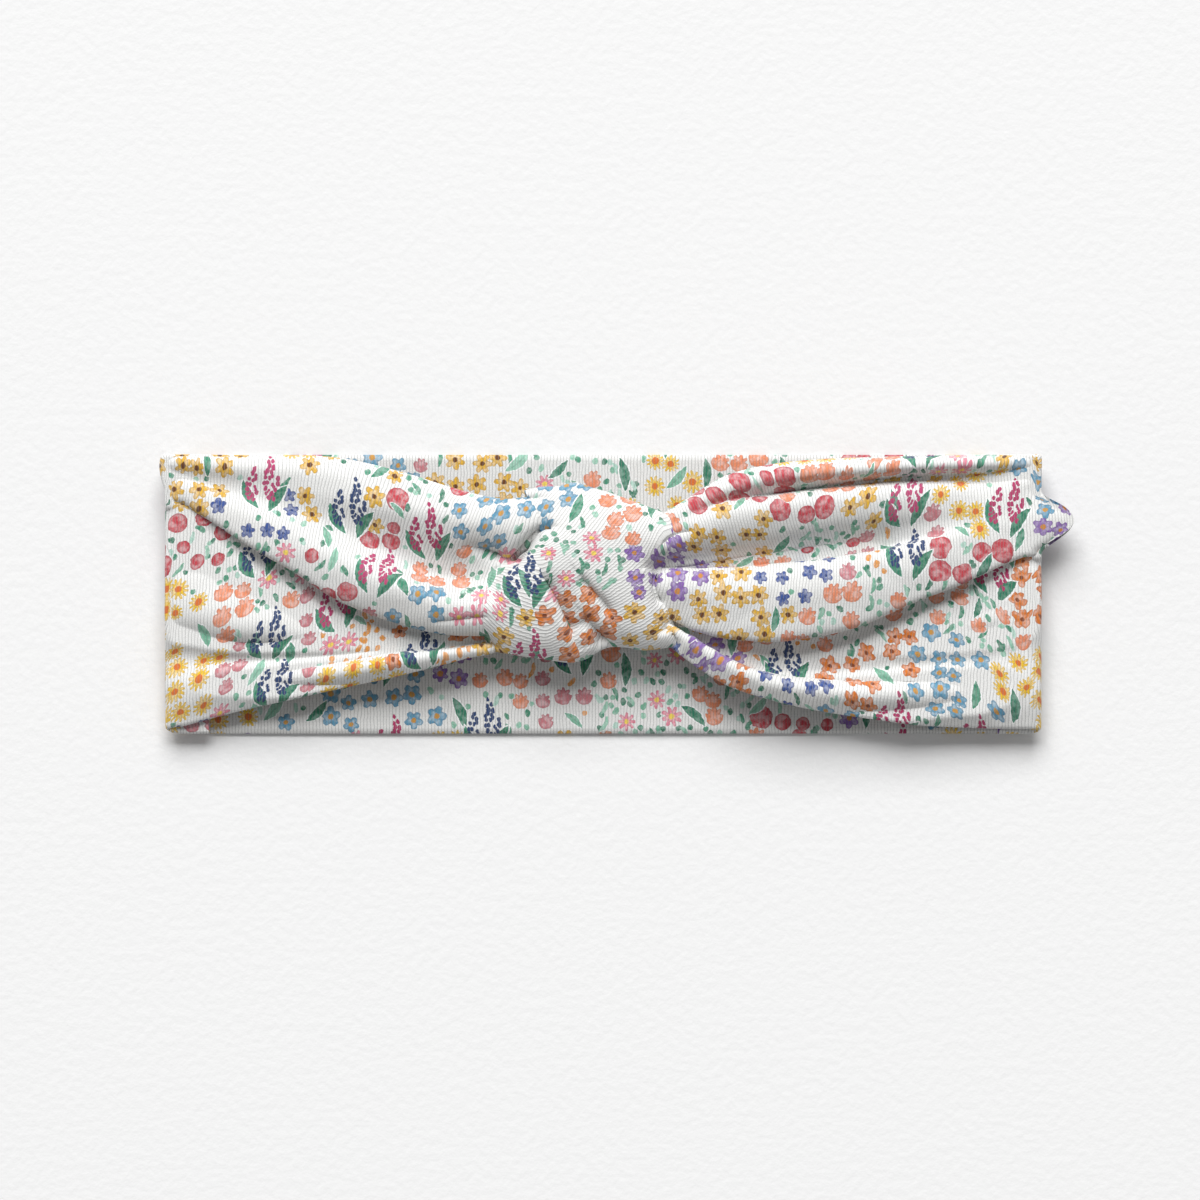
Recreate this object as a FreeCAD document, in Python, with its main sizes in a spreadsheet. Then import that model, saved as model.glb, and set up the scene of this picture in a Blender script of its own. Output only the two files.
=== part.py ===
"""Knotted headband of rib jersey, lying flat with its head opening closed to a slot.

The band is a loop of doubled cloth. Its rear half lies flat on the table. At each end the
loop turns over in a side fold and comes back above the rear half as a front arm, and the two
arms run into a wrapped knot. +X runs along the band, +Y across it and +Z up. The origin is
on the table, under the centre of the object's bounding box. Sizes are in millimetres.
"""

import FreeCAD, Part

import math
import os

import Sketcher


# The driving dimensions. Every one becomes a cell of the sheet under the same alias.
SIZES = {
    "cloth": 0.8,           # thickness of one ply of rib jersey
    "ply_gap": 0.3,         # room between the two plies, where the seam threads lie
    "thread_radius": 0.13,
    "band_width": 77.0,     # across the band, along Y
    "fold_radius": 5.0,     # outer radius of the two side folds
    "left_fold": -119.0,    # X of the left fold's axis
    "right_fold": 111.0,    # X of the right fold's axis
    "seam_setback": 7.0,    # from a fold's axis to the seam that joins arm and rear band
    "seam_inset": 1.5,      # from a finished edge to its seam
    "knot_base": 7.0,       # underside of the knot above the table
    "core_base": 9.5,       # underside of the gathered ends inside the knot
    "ear_reach": 10.2,      # how far the loose flap stands out past the right fold
    "ear_low": 11.5,
    "ear_high": 27.0,
    "bulge_reach": 2.2,     # how far the slack top corner stands out past the left fold
    "bulge_low": 31.0,
    "tack_length": 4.0,     # hand stitches under the knot
    "tack_pitch": 6.0,
}

# Stations of the lofted pieces: X, low and high edge in Y, height of the edge, rise of the crown.
LEFT_ARM = (
    (-119.0, -38.5, 38.5, 0.8, 0.4),
    (-100.0, -33.5, 38.2, 1.5, 2.5),
    (-78.0, -27.5, 37.6, 2.5, 4.0),
    (-58.0, -22.0, 34.5, 3.5, 5.0),
    (-44.0, -17.5, 30.0, 4.0, 6.0),
    (-35.3, -15.5, 27.5, 4.0, 6.5),
)
RIGHT_ARM = (
    (111.0, -38.5, 38.5, 0.8, 0.4),
    (92.0, -37.0, 37.6, 1.5, 2.5),
    (72.0, -35.2, 36.8, 2.5, 4.0),
    (52.0, -32.0, 35.6, 3.0, 5.0),
    (36.0, -28.5, 33.8, 3.5, 6.0),
    (25.0, -23.0, 30.5, 4.0, 6.5),
    (17.3, -15.5, 26.5, 4.0, 6.5),
)
KNOT = (
    (-35.0, -16.0, 27.5, 6.0, 7.0),
    (-26.0, -17.8, 29.0, 7.0, 7.5),
    (-14.0, -18.7, 30.0, 7.5, 8.0),
    (-2.0, -15.5, 29.5, 7.5, 8.0),
    (8.0, -15.5, 28.5, 7.0, 8.0),
    (17.0, -15.0, 27.0, 6.0, 7.5),
)
CORE = (
    (-30.0, -9.0, 19.0, 3.0, 4.0),
    (-10.0, -10.0, 21.0, 4.0, 5.0),
    (12.0, -8.0, 19.0, 3.0, 4.0),
)
LOFTS = {"left": LEFT_ARM, "right": RIGHT_ARM, "knot": KNOT, "core": CORE}
STATION_FIELDS = ("x", "low", "high", "edge", "rise")
TACK_COUNT = 3
SHEET = "sizes"
ORIGIN = -1         # Sketcher's number for a sketch's own axes, whose vertex 1 is the origin
START = 1
END = 2
CENTRE = 3
UP = FreeCAD.Vector(0, 0, 1)

doc = FreeCAD.newDocument("knotted_headband")


def make_sheet():
    """Write every size and every station into the sheet, each under its own alias."""
    cells = dict(SIZES)
    for name, stations in LOFTS.items():
        for number, station in enumerate(stations, 1):
            for field, size in zip(STATION_FIELDS, station):
                cells[f"{name}_{field}_{number}"] = size
    page = doc.addObject("Spreadsheet::Sheet", SHEET)
    for row, (alias, size) in enumerate(cells.items(), 1):
        page.set(f"A{row}", alias)
        page.set(f"B{row}", str(size))
        page.setAlias(f"B{row}", alias)
    doc.recompute()
    return page


sheet = make_sheet()


def cell(alias):
    """The expression that reads one cell of the sheet."""
    return f"{SHEET}.{alias}"


def number(expression):
    """The value that an expression of the sheet has now."""
    return float(sheet.evalExpression(str(expression)))


# Heights and radii that several pieces share, as expressions of the sheet.
FOLD_TOP = f"(2 * {cell('fold_radius')})"
FACE_BASE = f"({FOLD_TOP} - {cell('cloth')})"
LINING_TOP = f"({FACE_BASE} - {cell('ply_gap')})"
LINING_BASE = f"({LINING_TOP} - {cell('cloth')})"
FACE_INNER_RADIUS = f"({cell('fold_radius')} - {cell('cloth')})"
LINING_OUTER_RADIUS = f"({FACE_INNER_RADIUS} - {cell('ply_gap')})"
LINING_INNER_RADIUS = f"({LINING_OUTER_RADIUS} - {cell('cloth')})"
REAR_INNER_BASE = f"({cell('cloth')} + {cell('ply_gap')})"
HALF_WIDTH = f"({cell('band_width')} / 2)"


def make_body(label):
    body = doc.addObject("PartDesign::Body", label)
    body.Label = label
    return body


def make_sketch(body, name, plane, offset="0"):
    """A sketch on one of the body's own origin planes, moved along that plane's normal."""
    sketch = body.newObject("Sketcher::SketchObject", name)
    for feature in body.Origin.OriginFeatures:
        if feature.Role == plane:
            sketch.AttachmentSupport = [(feature, "")]
    sketch.MapMode = "FlatFace"
    sketch.setExpression("AttachmentOffset.Base.z", offset)
    return sketch


def bind(sketch, kind, expression, *vertices):
    """Add a dimension whose value is an expression of the sheet."""
    index = sketch.addConstraint(Sketcher.Constraint(kind, *vertices, number(expression)))
    name = f"size_{index}"
    sketch.renameConstraint(index, name)
    sketch.setExpression(f"Constraints.{name}", expression)


def pin(sketch, geometry, vertex, place):
    """Hold a vertex at a place given as two expressions, across and up the sketch."""
    bind(sketch, "DistanceX", place[0], ORIGIN, START, geometry, vertex)
    bind(sketch, "DistanceY", place[1], ORIGIN, START, geometry, vertex)


def spot(place):
    """A sketch point as a vector, from two expressions."""
    return FreeCAD.Vector(number(place[0]), number(place[1]), 0)


def add_line(sketch, start, end):
    return sketch.addGeometry(Part.LineSegment(spot(start), spot(end)), False)


def add_arc(sketch, centre, start, end):
    """An arc that turns anticlockwise about centre from start to end, all vectors."""
    radius = (start - centre).Length
    first = math.atan2(start.y - centre.y, start.x - centre.x)
    last = math.atan2(end.y - centre.y, end.x - centre.x)
    circle = Part.Circle(centre, UP, radius)
    return sketch.addGeometry(Part.ArcOfCircle(circle, first, last), False)


def join(sketch, first, first_vertex, second, second_vertex):
    sketch.addConstraint(
        Sketcher.Constraint("Coincident", first, first_vertex, second, second_vertex))


def polygon(sketch, corners):
    """A closed outline of straight edges, with every corner pinned."""
    edges = []
    for place, following in zip(corners, corners[1:] + corners[:1]):
        edges.append(add_line(sketch, place, following))
    for index, edge in enumerate(edges):
        join(sketch, edge, START, edges[index - 1], END)
        pin(sketch, edge, START, corners[index])


def sheet_section(body, loft, station, base):
    """One station of a flat ply: a rectangle one cloth thick."""
    sketch = make_sketch(body, f"{loft}_ply_{station}", "YZ_Plane", cell(f"{loft}_x_{station}"))
    low = cell(f"{loft}_low_{station}")
    high = cell(f"{loft}_high_{station}")
    top = f"{base} + {cell('cloth')}"
    polygon(sketch, [(low, base), (high, base), (high, top), (low, top)])
    return sketch


def crowned_section(body, loft, station, base):
    """One station of a gathered piece: flat below, upright edges and an arched top."""
    sketch = make_sketch(body, f"{loft}_crown_{station}", "YZ_Plane", cell(f"{loft}_x_{station}"))
    low = cell(f"{loft}_low_{station}")
    high = cell(f"{loft}_high_{station}")
    rise = cell(f"{loft}_rise_{station}")
    shoulder = f"({base} + {cell(f'{loft}_edge_{station}')})"
    radius = f"((({high} - {low}) / 2) ^ 2 + {rise} ^ 2) / (2 * {rise})"
    centre = spot((f"({high} + {low}) / 2", f"{shoulder} + {rise} - {radius}"))
    bottom = add_line(sketch, (low, base), (high, base))
    far_edge = add_line(sketch, (high, base), (high, shoulder))
    crown = add_arc(sketch, centre, spot((high, shoulder)), spot((low, shoulder)))
    near_edge = add_line(sketch, (low, shoulder), (low, base))
    join(sketch, bottom, END, far_edge, START)
    join(sketch, far_edge, END, crown, START)
    join(sketch, crown, END, near_edge, START)
    join(sketch, near_edge, END, bottom, START)
    pin(sketch, bottom, START, (low, base))
    pin(sketch, far_edge, START, (high, base))
    pin(sketch, crown, START, (high, shoulder))
    pin(sketch, near_edge, START, (low, shoulder))
    bind(sketch, "Radius", radius, crown)
    return sketch


def loft_through(body, loft, base, section):
    """A smooth loft through all the stations of one piece."""
    sketches = []
    for station in range(1, len(LOFTS[loft]) + 1):
        sketches.append(section(body, loft, station, base))
    feature = body.newObject("PartDesign::AdditiveLoft", f"{body.Name}_loft")
    feature.Profile = sketches[0]
    feature.Sections = sketches[1:]
    feature.Ruled = False
    doc.recompute()


def pad(body, sketch, length, symmetric=False):
    feature = body.newObject("PartDesign::Pad", f"{sketch.Name}_pad")
    feature.Profile = sketch
    feature.SideType = "Symmetric" if symmetric else "One side"
    feature.setExpression("Length", length)
    doc.recompute()


def add_side_fold(body, side, outer, inner):
    """The half turn of one ply at the end of the loop, with its run back to the side seam."""
    fold = cell(f"{side}_fold")
    setback = cell("seam_setback")
    seam = f"({fold} + {setback})" if side == "left" else f"({fold} - {setback})"
    axis_height = cell("fold_radius")
    sketch = make_sketch(body, f"{body.Name}_turn", "XZ_Plane")
    top_outer = (fold, f"{axis_height} + {outer}")
    top_inner = (fold, f"{axis_height} + {inner}")
    low_outer = (fold, f"{axis_height} - {outer}")
    low_inner = (fold, f"{axis_height} - {inner}")
    seam_outer = (seam, low_outer[1])
    seam_inner = (seam, low_inner[1])
    centre = spot((fold, axis_height))
    if side == "left":
        outside = add_arc(sketch, centre, spot(top_outer), spot(low_outer))
        inside = add_arc(sketch, centre, spot(top_inner), spot(low_inner))
        top, bottom = START, END
    else:
        outside = add_arc(sketch, centre, spot(low_outer), spot(top_outer))
        inside = add_arc(sketch, centre, spot(low_inner), spot(top_inner))
        top, bottom = END, START
    run_out = add_line(sketch, low_outer, seam_outer)
    end_edge = add_line(sketch, seam_outer, seam_inner)
    run_back = add_line(sketch, seam_inner, low_inner)
    top_edge = add_line(sketch, top_inner, top_outer)
    join(sketch, outside, bottom, run_out, START)
    join(sketch, run_out, END, end_edge, START)
    join(sketch, end_edge, END, run_back, START)
    join(sketch, run_back, END, inside, bottom)
    join(sketch, inside, top, top_edge, START)
    join(sketch, top_edge, END, outside, top)
    for arc in (outside, inside):
        pin(sketch, arc, CENTRE, (fold, axis_height))
    bind(sketch, "Radius", outer, outside)
    bind(sketch, "Radius", inner, inside)
    for geometry, vertex in ((run_out, START), (run_back, END), (top_edge, START)):
        bind(sketch, "DistanceX", fold, ORIGIN, START, geometry, vertex)
    bind(sketch, "DistanceX", fold, ORIGIN, START, top_edge, END)
    pin(sketch, end_edge, START, seam_outer)
    pin(sketch, end_edge, END, seam_inner)
    pad(body, sketch, cell("band_width"), symmetric=True)


def add_flap(body, name, root, tip, low, high):
    """A slack flap of the fold: a plan outline of one arc closed by a straight root."""
    sketch = make_sketch(body, name, "XY_Plane", cell("fold_radius"))
    half = f"(({high} - {low}) / 2)"
    reach = f"abs({tip} - {root})"
    radius = f"({half} ^ 2 + {reach} ^ 2) / (2 * {reach})"
    outward = 1 if number(tip) > number(root) else -1
    centre = spot((f"{tip} - {outward} * {radius}", f"({low} + {high}) / 2"))
    if outward > 0:
        arc = add_arc(sketch, centre, spot((root, low)), spot((root, high)))
        low_vertex, high_vertex = START, END
    else:
        arc = add_arc(sketch, centre, spot((root, high)), spot((root, low)))
        low_vertex, high_vertex = END, START
    edge = add_line(sketch, (root, low), (root, high))
    join(sketch, arc, low_vertex, edge, START)
    join(sketch, arc, high_vertex, edge, END)
    pin(sketch, edge, START, (root, low))
    pin(sketch, edge, END, (root, high))
    bind(sketch, "Radius", radius, arc)
    pad(body, sketch, FACE_INNER_RADIUS)


def arm_face_panel(side):
    """The ply that shows: the crowned front, its side fold, and the run to the side seam."""
    body = make_body(f"{side}_arm_face_panel")
    loft_through(body, side, FACE_BASE, crowned_section)
    add_side_fold(body, side, cell("fold_radius"), FACE_INNER_RADIUS)
    return body


def add_right_ear(body):
    root = f"({cell('right_fold')} + {cell('fold_radius')} - {cell('cloth')} / 2)"
    tip = f"({cell('right_fold')} + {cell('fold_radius')} + {cell('ear_reach')})"
    add_flap(body, "ear", root, tip, cell("ear_low"), cell("ear_high"))


def add_left_bulge(body):
    root = f"({cell('left_fold')} - {cell('fold_radius')} + {cell('cloth')} / 2)"
    tip = f"({cell('left_fold')} - {cell('fold_radius')} - {cell('bulge_reach')})"
    add_flap(body, "bulge", root, tip, cell("bulge_low"), HALF_WIDTH)


def arm_lining_panel(side):
    """The ply against the head: flat under the face panel, and inside its side fold."""
    body = make_body(f"{side}_arm_lining_panel")
    loft_through(body, side, LINING_BASE, sheet_section)
    add_side_fold(body, side, LINING_OUTER_RADIUS, LINING_INNER_RADIUS)
    return body


def rear_panel(label, base):
    """A flat ply of the rear half, from one side seam to the other."""
    body = make_body(label)
    sketch = make_sketch(body, f"{label}_plan", "XY_Plane", base)
    left = f"({cell('left_fold')} + {cell('seam_setback')})"
    right = f"({cell('right_fold')} - {cell('seam_setback')})"
    low = f"(-{HALF_WIDTH})"
    polygon(sketch, [(left, low), (right, low), (right, HALF_WIDTH), (left, HALF_WIDTH)])
    pad(body, sketch, cell("cloth"))
    return body


def knot_core():
    """The gathered ends of the two arms, rolled together inside the knot."""
    body = make_body("knot_core")
    loft_through(body, "core", cell("core_base"), crowned_section)
    return body


def knot_wrap(core):
    """The cloth wrapped round the core: a crowned block with the core's space inside it."""
    block = make_body("knot_block")
    loft_through(block, "knot", cell("knot_base"), crowned_section)
    wrap = doc.addObject("Part::Cut", "knot_wrap")
    wrap.Base = block
    wrap.Tool = core
    return wrap


def seam_height():
    """Mid-height of the gap between the two plies of the rear band."""
    return number(f"{cell('cloth')} + {cell('ply_gap')} / 2")


def straight_thread(label, start, end):
    """A thread along a straight seam, as a cylinder from start to end."""
    run = end - start
    thread = doc.addObject("Part::Cylinder", label)
    thread.setExpression("Radius", cell("thread_radius"))
    thread.Height = run.Length
    thread.Placement = FreeCAD.Placement(start, FreeCAD.Rotation(UP, run))
    return thread


def rear_seam_thread(label, edge):
    """The thread of one long seam of the rear band. edge is 1 for the top edge, -1 for the low."""
    y = edge * number(f"{HALF_WIDTH} - {cell('seam_inset')}")
    clearance = 2 * number(cell("thread_radius"))
    left = number(f"{cell('left_fold')} + {cell('seam_setback')}") + clearance
    right = number(f"{cell('right_fold')} - {cell('seam_setback')}") - clearance
    height = seam_height()
    return straight_thread(
        label, FreeCAD.Vector(left, y, height), FreeCAD.Vector(right, y, height))


def side_seam_thread(side):
    """The thread of the seam that joins an arm to the rear band, just inside the fold."""
    inward = 1 if side == "left" else -1
    x = number(cell(f"{side}_fold")) + inward * number(cell("seam_setback"))
    reach = number(f"{HALF_WIDTH} - {cell('cloth')}")
    height = seam_height()
    return straight_thread(
        f"{side}_side_seam_thread",
        FreeCAD.Vector(x, -reach, height),
        FreeCAD.Vector(x, reach, height))


def arm_seam_thread(side, label, edge):
    """The thread of one long seam of an arm: back along the run, round the fold, to the knot."""
    inward = 1 if side == "left" else -1
    inset = number(cell("seam_inset"))
    radius = number(cell("thread_radius"))
    fold_x = number(cell(f"{side}_fold"))
    axis_height = number(cell("fold_radius"))
    low = seam_height()
    high = 2 * axis_height - low
    seam_x = fold_x + inward * (number(cell("seam_setback")) - 4 * radius)
    y = edge * (number(HALF_WIDTH) - inset)
    side_name = "high" if edge > 0 else "low"
    points = []
    for station in range(1, len(LOFTS[side]) + 1):
        x = number(cell(f"{side}_x_{station}"))
        edge_y = number(cell(f"{side}_{side_name}_{station}"))
        points.append(FreeCAD.Vector(x, edge_y - edge * inset, high))
    start = FreeCAD.Vector(seam_x, y, low)
    turn_in = FreeCAD.Vector(fold_x, y, low)
    turn_mid = FreeCAD.Vector(fold_x - inward * (axis_height - low), y, axis_height)
    run = Part.LineSegment(start, turn_in).toShape()
    turn = Part.Arc(turn_in, turn_mid, points[0]).toShape()
    path = Part.Wire([run, turn] + Part.makePolygon(points).Edges)
    profile = Part.Wire([Part.makeCircle(radius, start, FreeCAD.Vector(1, 0, 0))])
    thread = doc.addObject("Part::Feature", label)
    thread.Shape = path.makePipeShell([profile], True)
    thread.Placement = FreeCAD.Placement()
    return thread


def knot_tack_stitches():
    """The hand stitches that hold the wrap closed, side by side under the knot."""
    radius = number(cell("thread_radius"))
    pitch = number(cell("tack_pitch"))
    half_length = number(cell("tack_length")) / 2
    middle_x = number(f"({cell('knot_x_1')} + {cell(f'knot_x_{len(KNOT)}')}) / 2")
    height = number(cell("knot_base")) - radius
    stitches = []
    for index in range(TACK_COUNT):
        y = (index - (TACK_COUNT - 1) / 2) * pitch
        start = FreeCAD.Vector(middle_x - half_length, y, height)
        end = FreeCAD.Vector(middle_x + half_length, y, height)
        stitches.append(straight_thread(f"tack_{index + 1}", start, end))
    group = doc.addObject("Part::Compound", "knot_tack_stitches")
    group.Links = stitches
    return group


def build():
    """Make every sub-part. The list's labels are the names of the nodes."""
    left_face = arm_face_panel("left")
    add_left_bulge(left_face)
    right_face = arm_face_panel("right")
    add_right_ear(right_face)
    core = knot_core()
    pieces = [
        rear_panel("rear_outer_panel", "0"),
        rear_panel("rear_inner_panel", REAR_INNER_BASE),
        left_face,
        arm_lining_panel("left"),
        right_face,
        arm_lining_panel("right"),
        core,
        knot_wrap(core),
        knot_tack_stitches(),
    ]
    for edge_name, edge in (("top", 1), ("bottom", -1)):
        pieces.append(rear_seam_thread(f"rear_{edge_name}_seam_thread", edge))
        for side in ("left", "right"):
            label = f"{side}_arm_{edge_name}_seam_thread"
            pieces.append(arm_seam_thread(side, label, edge))
    for side in ("left", "right"):
        pieces.append(side_seam_thread(side))
    return pieces


def check(pieces):
    """Stop if any object failed or any sub-part has no sound solid."""
    for item in doc.Objects:
        if "Invalid" in item.State or "Error" in item.State:
            raise RuntimeError(f"{item.Label} did not recompute: {item.State}")
    for piece in pieces:
        if piece.Shape.isNull() or not piece.Shape.isValid() or not piece.Shape.Solids:
            raise RuntimeError(f"{piece.Label} has no valid solid")


def export(pieces):
    os.makedirs("parts", exist_ok=True)
    for piece in pieces:
        piece.Shape.exportStep(f"parts/{piece.Label}.step")
        box = piece.Shape.BoundBox
        print(f"{piece.Label}: {len(piece.Shape.Solids)} solid, {piece.Shape.Volume:.1f} mm3, "
              f"X {box.XMin:.1f} to {box.XMax:.1f}, Y {box.YMin:.1f} to {box.YMax:.1f}, "
              f"Z {box.ZMin:.2f} to {box.ZMax:.2f}")


nodes = build()
doc.recompute()
check(nodes)
export(nodes)
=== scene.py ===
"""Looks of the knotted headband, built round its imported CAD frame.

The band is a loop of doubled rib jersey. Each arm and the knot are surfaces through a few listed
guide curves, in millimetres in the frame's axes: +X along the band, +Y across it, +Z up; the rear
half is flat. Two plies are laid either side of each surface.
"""

import math

import bpy
import numpy as np
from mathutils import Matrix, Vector, noise
from mathutils.bvhtree import BVHTree


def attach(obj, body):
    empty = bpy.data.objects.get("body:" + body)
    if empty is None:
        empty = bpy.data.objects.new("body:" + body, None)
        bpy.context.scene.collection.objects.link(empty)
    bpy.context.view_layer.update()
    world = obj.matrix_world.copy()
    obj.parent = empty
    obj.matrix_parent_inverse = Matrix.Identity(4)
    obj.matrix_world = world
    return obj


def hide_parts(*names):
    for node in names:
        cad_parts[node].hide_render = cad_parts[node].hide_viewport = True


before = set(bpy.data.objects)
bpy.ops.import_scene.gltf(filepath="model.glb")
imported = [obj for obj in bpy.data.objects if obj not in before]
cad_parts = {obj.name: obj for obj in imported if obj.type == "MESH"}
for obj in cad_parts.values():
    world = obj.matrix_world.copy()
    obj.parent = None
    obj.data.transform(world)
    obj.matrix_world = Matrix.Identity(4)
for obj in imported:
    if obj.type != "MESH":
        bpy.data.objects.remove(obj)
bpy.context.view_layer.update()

MM = 0.001
FOLD_AXIS_Z = 5.0           # height of the side folds' axes
FOLD_MID_RADIUS = 4.05      # radius of the middle surface round a side fold
MID_LOW = FOLD_AXIS_Z - FOLD_MID_RADIUS
LEFT_FOLD_X = -119.0
RIGHT_FOLD_X = 111.0
LEFT_SEAM_X = -112.0
RIGHT_SEAM_X = 104.0
HALF_WIDTH = 38.2
PLY_OUTER = 0.82            # outer face of a ply, from the middle surface
PLY_INNER = 0.07            # inner face of a ply
EDGE_ROUND = 1.3            # how far in from a turned edge the plies are drawn together


# ---------------------------------------------------------------- curves and grids

def smooth_through(points, closed=False, spans=14):
    """A dense centripetal curve through the points, as an array."""
    points = np.asarray(points, float)
    if closed:
        points = np.vstack([points[-2:], points, points[:3]])
    steps = np.linalg.norm(np.diff(points, axis=0), axis=1)
    knots = np.concatenate([[0.0], np.cumsum(np.sqrt(np.maximum(steps, 1e-6)))])
    slopes = np.diff(points, axis=0) / np.diff(knots)[:, None]
    tangents = np.empty_like(points)
    tangents[0] = slopes[0]
    tangents[-1] = slopes[-1]
    before = np.diff(knots)[:-1, None]
    after = np.diff(knots)[1:, None]
    tangents[1:-1] = (slopes[:-1] * after + slopes[1:] * before) / (before + after)
    first, last = (2, len(points) - 3) if closed else (0, len(points) - 1)
    pieces = []
    for i in range(first, last):
        t = np.linspace(0, 1, spans, endpoint=False)[:, None]
        width = knots[i + 1] - knots[i]
        pieces.append(
            (2 * t**3 - 3 * t**2 + 1) * points[i]
            + (t**3 - 2 * t**2 + t) * width * tangents[i]
            + (3 * t**2 - 2 * t**3) * points[i + 1]
            + (t**3 - t**2) * width * tangents[i + 1])
    pieces.append(points[last:last + 1])
    return np.vstack(pieces)


def evenly(points, count):
    """The same curve with evenly spaced points."""
    steps = np.linalg.norm(np.diff(points, axis=0), axis=1)
    length = np.concatenate([[0.0], np.cumsum(steps)])
    wanted = np.linspace(0, length[-1], count)
    return np.stack([np.interp(wanted, length, points[:, k]) for k in range(3)], axis=1)


def skin(guides, rows, columns, closed=False):
    """A grid through guide curves. Row 0 joins their first points, the last row their ends."""
    along = np.stack([evenly(smooth_through(guide), rows) for guide in guides])
    sections = []
    for row in range(rows):
        section = smooth_through(along[:, row], closed)
        sections.append(evenly(section, columns))
    return np.stack(sections)


def relax(grid, times, closed=False):
    """Even out a grid, keeping its border rows and columns."""
    for _ in range(times):
        if closed:
            ring = grid[:, :-1]
            across = (np.roll(ring, 1, axis=1) + np.roll(ring, -1, axis=1)) / 2
            across = np.concatenate([across, across[:, :1]], axis=1)
            grid[1:-1] = (grid[1:-1] * 2 + grid[:-2] + grid[2:] + across[1:-1] * 2) / 6
        else:
            inner = (grid[:-2, 1:-1] + grid[2:, 1:-1] + grid[1:-1, :-2] + grid[1:-1, 2:]) / 4
            grid[1:-1, 1:-1] = (grid[1:-1, 1:-1] + inner) / 2
            for side in (0, -1):
                edge = (grid[:-2, side] + grid[2:, side]) / 2
                grid[1:-1, side] = (grid[1:-1, side] + edge) / 2
    return grid


def normals_of(grid):
    """Unit normals of a grid, pointing up where the grid runs along X then down in Y."""
    along = np.gradient(grid, axis=0)
    across = np.gradient(grid, axis=1)
    normal = np.cross(across, along)
    return normal / np.maximum(np.linalg.norm(normal, axis=2, keepdims=True), 1e-9)


def outward_normals(ring):
    """Unit normals of a closed ring grid, pointing out of it."""
    normals = normals_of(ring)
    centre = ring.mean(axis=(0, 1))
    if ((ring - centre) * normals).sum() < 0:
        normals = -normals
    return normals


def eased(share):
    """A share of 0 to 1, with a smooth start and end."""
    return share * share * (3 - 2 * share)


def running_mean(values):
    """The mean of each value and its two neighbours on either side."""
    return np.convolve(np.pad(values, 2, mode="edge"), np.ones(5) / 5, mode="valid")


def arc_lengths(grid, axis):
    """How far along its row or column, in mm, every grid point lies."""
    steps = np.linalg.norm(np.diff(grid, axis=axis), axis=2)
    lengths = np.cumsum(steps, axis=axis)
    shape = [1, grid.shape[1]] if axis == 0 else [grid.shape[0], 1]
    return np.concatenate([np.zeros(shape), lengths], axis=axis)


CREST_LIFT = 0.3            # mm off the crest's line that 1 mm of height makes up for
HINT_BLUR = 4.0             # added to a hint's squared distance, mm2
HINT_FALL = -1.5            # power of it that a hint's weight follows


def print_places(grid, crest, fold_rows=0, outward=0.0):
    """Where each grid point takes its print, in mm: X along the band, true lengths across it.

    crest gives the line, as X and Y, on which the print keeps its place in Y. The first
    fold_rows rows lie round the side fold, past the last X on the side outward.
    """
    across = arc_lengths(grid, 1)
    along = arc_lengths(grid, 0)
    order = np.argsort(crest[0])
    crest_x, crest_y = (np.asarray(values)[order] for values in crest)
    wanted = np.interp(grid[..., 0].mean(axis=1), crest_x, crest_y)
    miss = np.abs(grid[..., 1] - wanted[:, None]) - CREST_LIFT * grid[..., 2]
    column = np.clip(miss.argmin(axis=1), 1, grid.shape[1] - 2)
    column[:fold_rows] = column[fold_rows]
    row = np.arange(len(grid))
    way = np.sign(grid[row, column + 1, 1] - grid[row, column - 1, 1])[:, None]
    v = grid[row, column, 1][:, None] + way * (across - across[row, column][:, None])
    u = grid[..., 0].copy()
    if fold_rows:
        u[:fold_rows] = grid[fold_rows, :, 0] + outward * (along[fold_rows] - along[:fold_rows])
    return np.stack([u, v], axis=2)


def matching(down, right):
    """The grid of values whose steps down the rows and along the columns best match these."""
    rows, columns = right.shape[0], down.shape[1]
    source = np.zeros((rows, columns))
    source[:-1] -= down
    source[1:] += down
    source[:, :-1] -= right
    source[:, 1:] += right
    mirrored = np.concatenate([source, source[::-1]])
    mirrored = np.concatenate([mirrored, mirrored[:, ::-1]], axis=1)
    row_part = 2 - 2 * np.cos(np.pi * np.arange(2 * rows) / rows)
    column_part = 2 - 2 * np.cos(np.pi * np.arange(2 * columns) / columns)
    scale = row_part[:, None] + column_part[None]
    scale[0, 0] = 1.0
    spectrum = np.fft.fft2(mirrored) / scale
    return np.fft.ifft2(spectrum).real[:rows, :columns]


def rib_places(places, hints):
    """How far each point is across the ribs, from hints of X, Y and the ribs' angle there."""
    total = np.full(places.shape[:2], 1e-9)
    turn = np.zeros(places.shape[:2])
    for x, y, degrees in hints:
        gap = (places[..., 0] - x) ** 2 + (places[..., 1] - y) ** 2 + HINT_BLUR
        weight = gap ** HINT_FALL
        total += weight
        turn += weight * math.radians(degrees)
    turn /= total
    ahead = np.stack([np.sin(turn), -np.cos(turn)], axis=2)
    down = (np.diff(places, axis=0) * (ahead[1:] + ahead[:-1]) / 2).sum(axis=2)
    right = (np.diff(places, axis=1) * (ahead[:, 1:] + ahead[:, :-1]) / 2).sum(axis=2)
    found = matching(down, right)
    wanted = (down ** 2).sum() + (right ** 2).sum()
    reached = (np.diff(found, axis=0) ** 2).sum() + (np.diff(found, axis=1) ** 2).sum()
    return found * math.sqrt(wanted / reached)


# ---------------------------------------------------------------- the arms

def guide_lines(xs, rows):
    """Guide curves from a list of X stations and, for each guide, its Y and Z at them."""
    return [list(zip(xs, ys, zs)) for ys, zs in rows]


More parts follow.
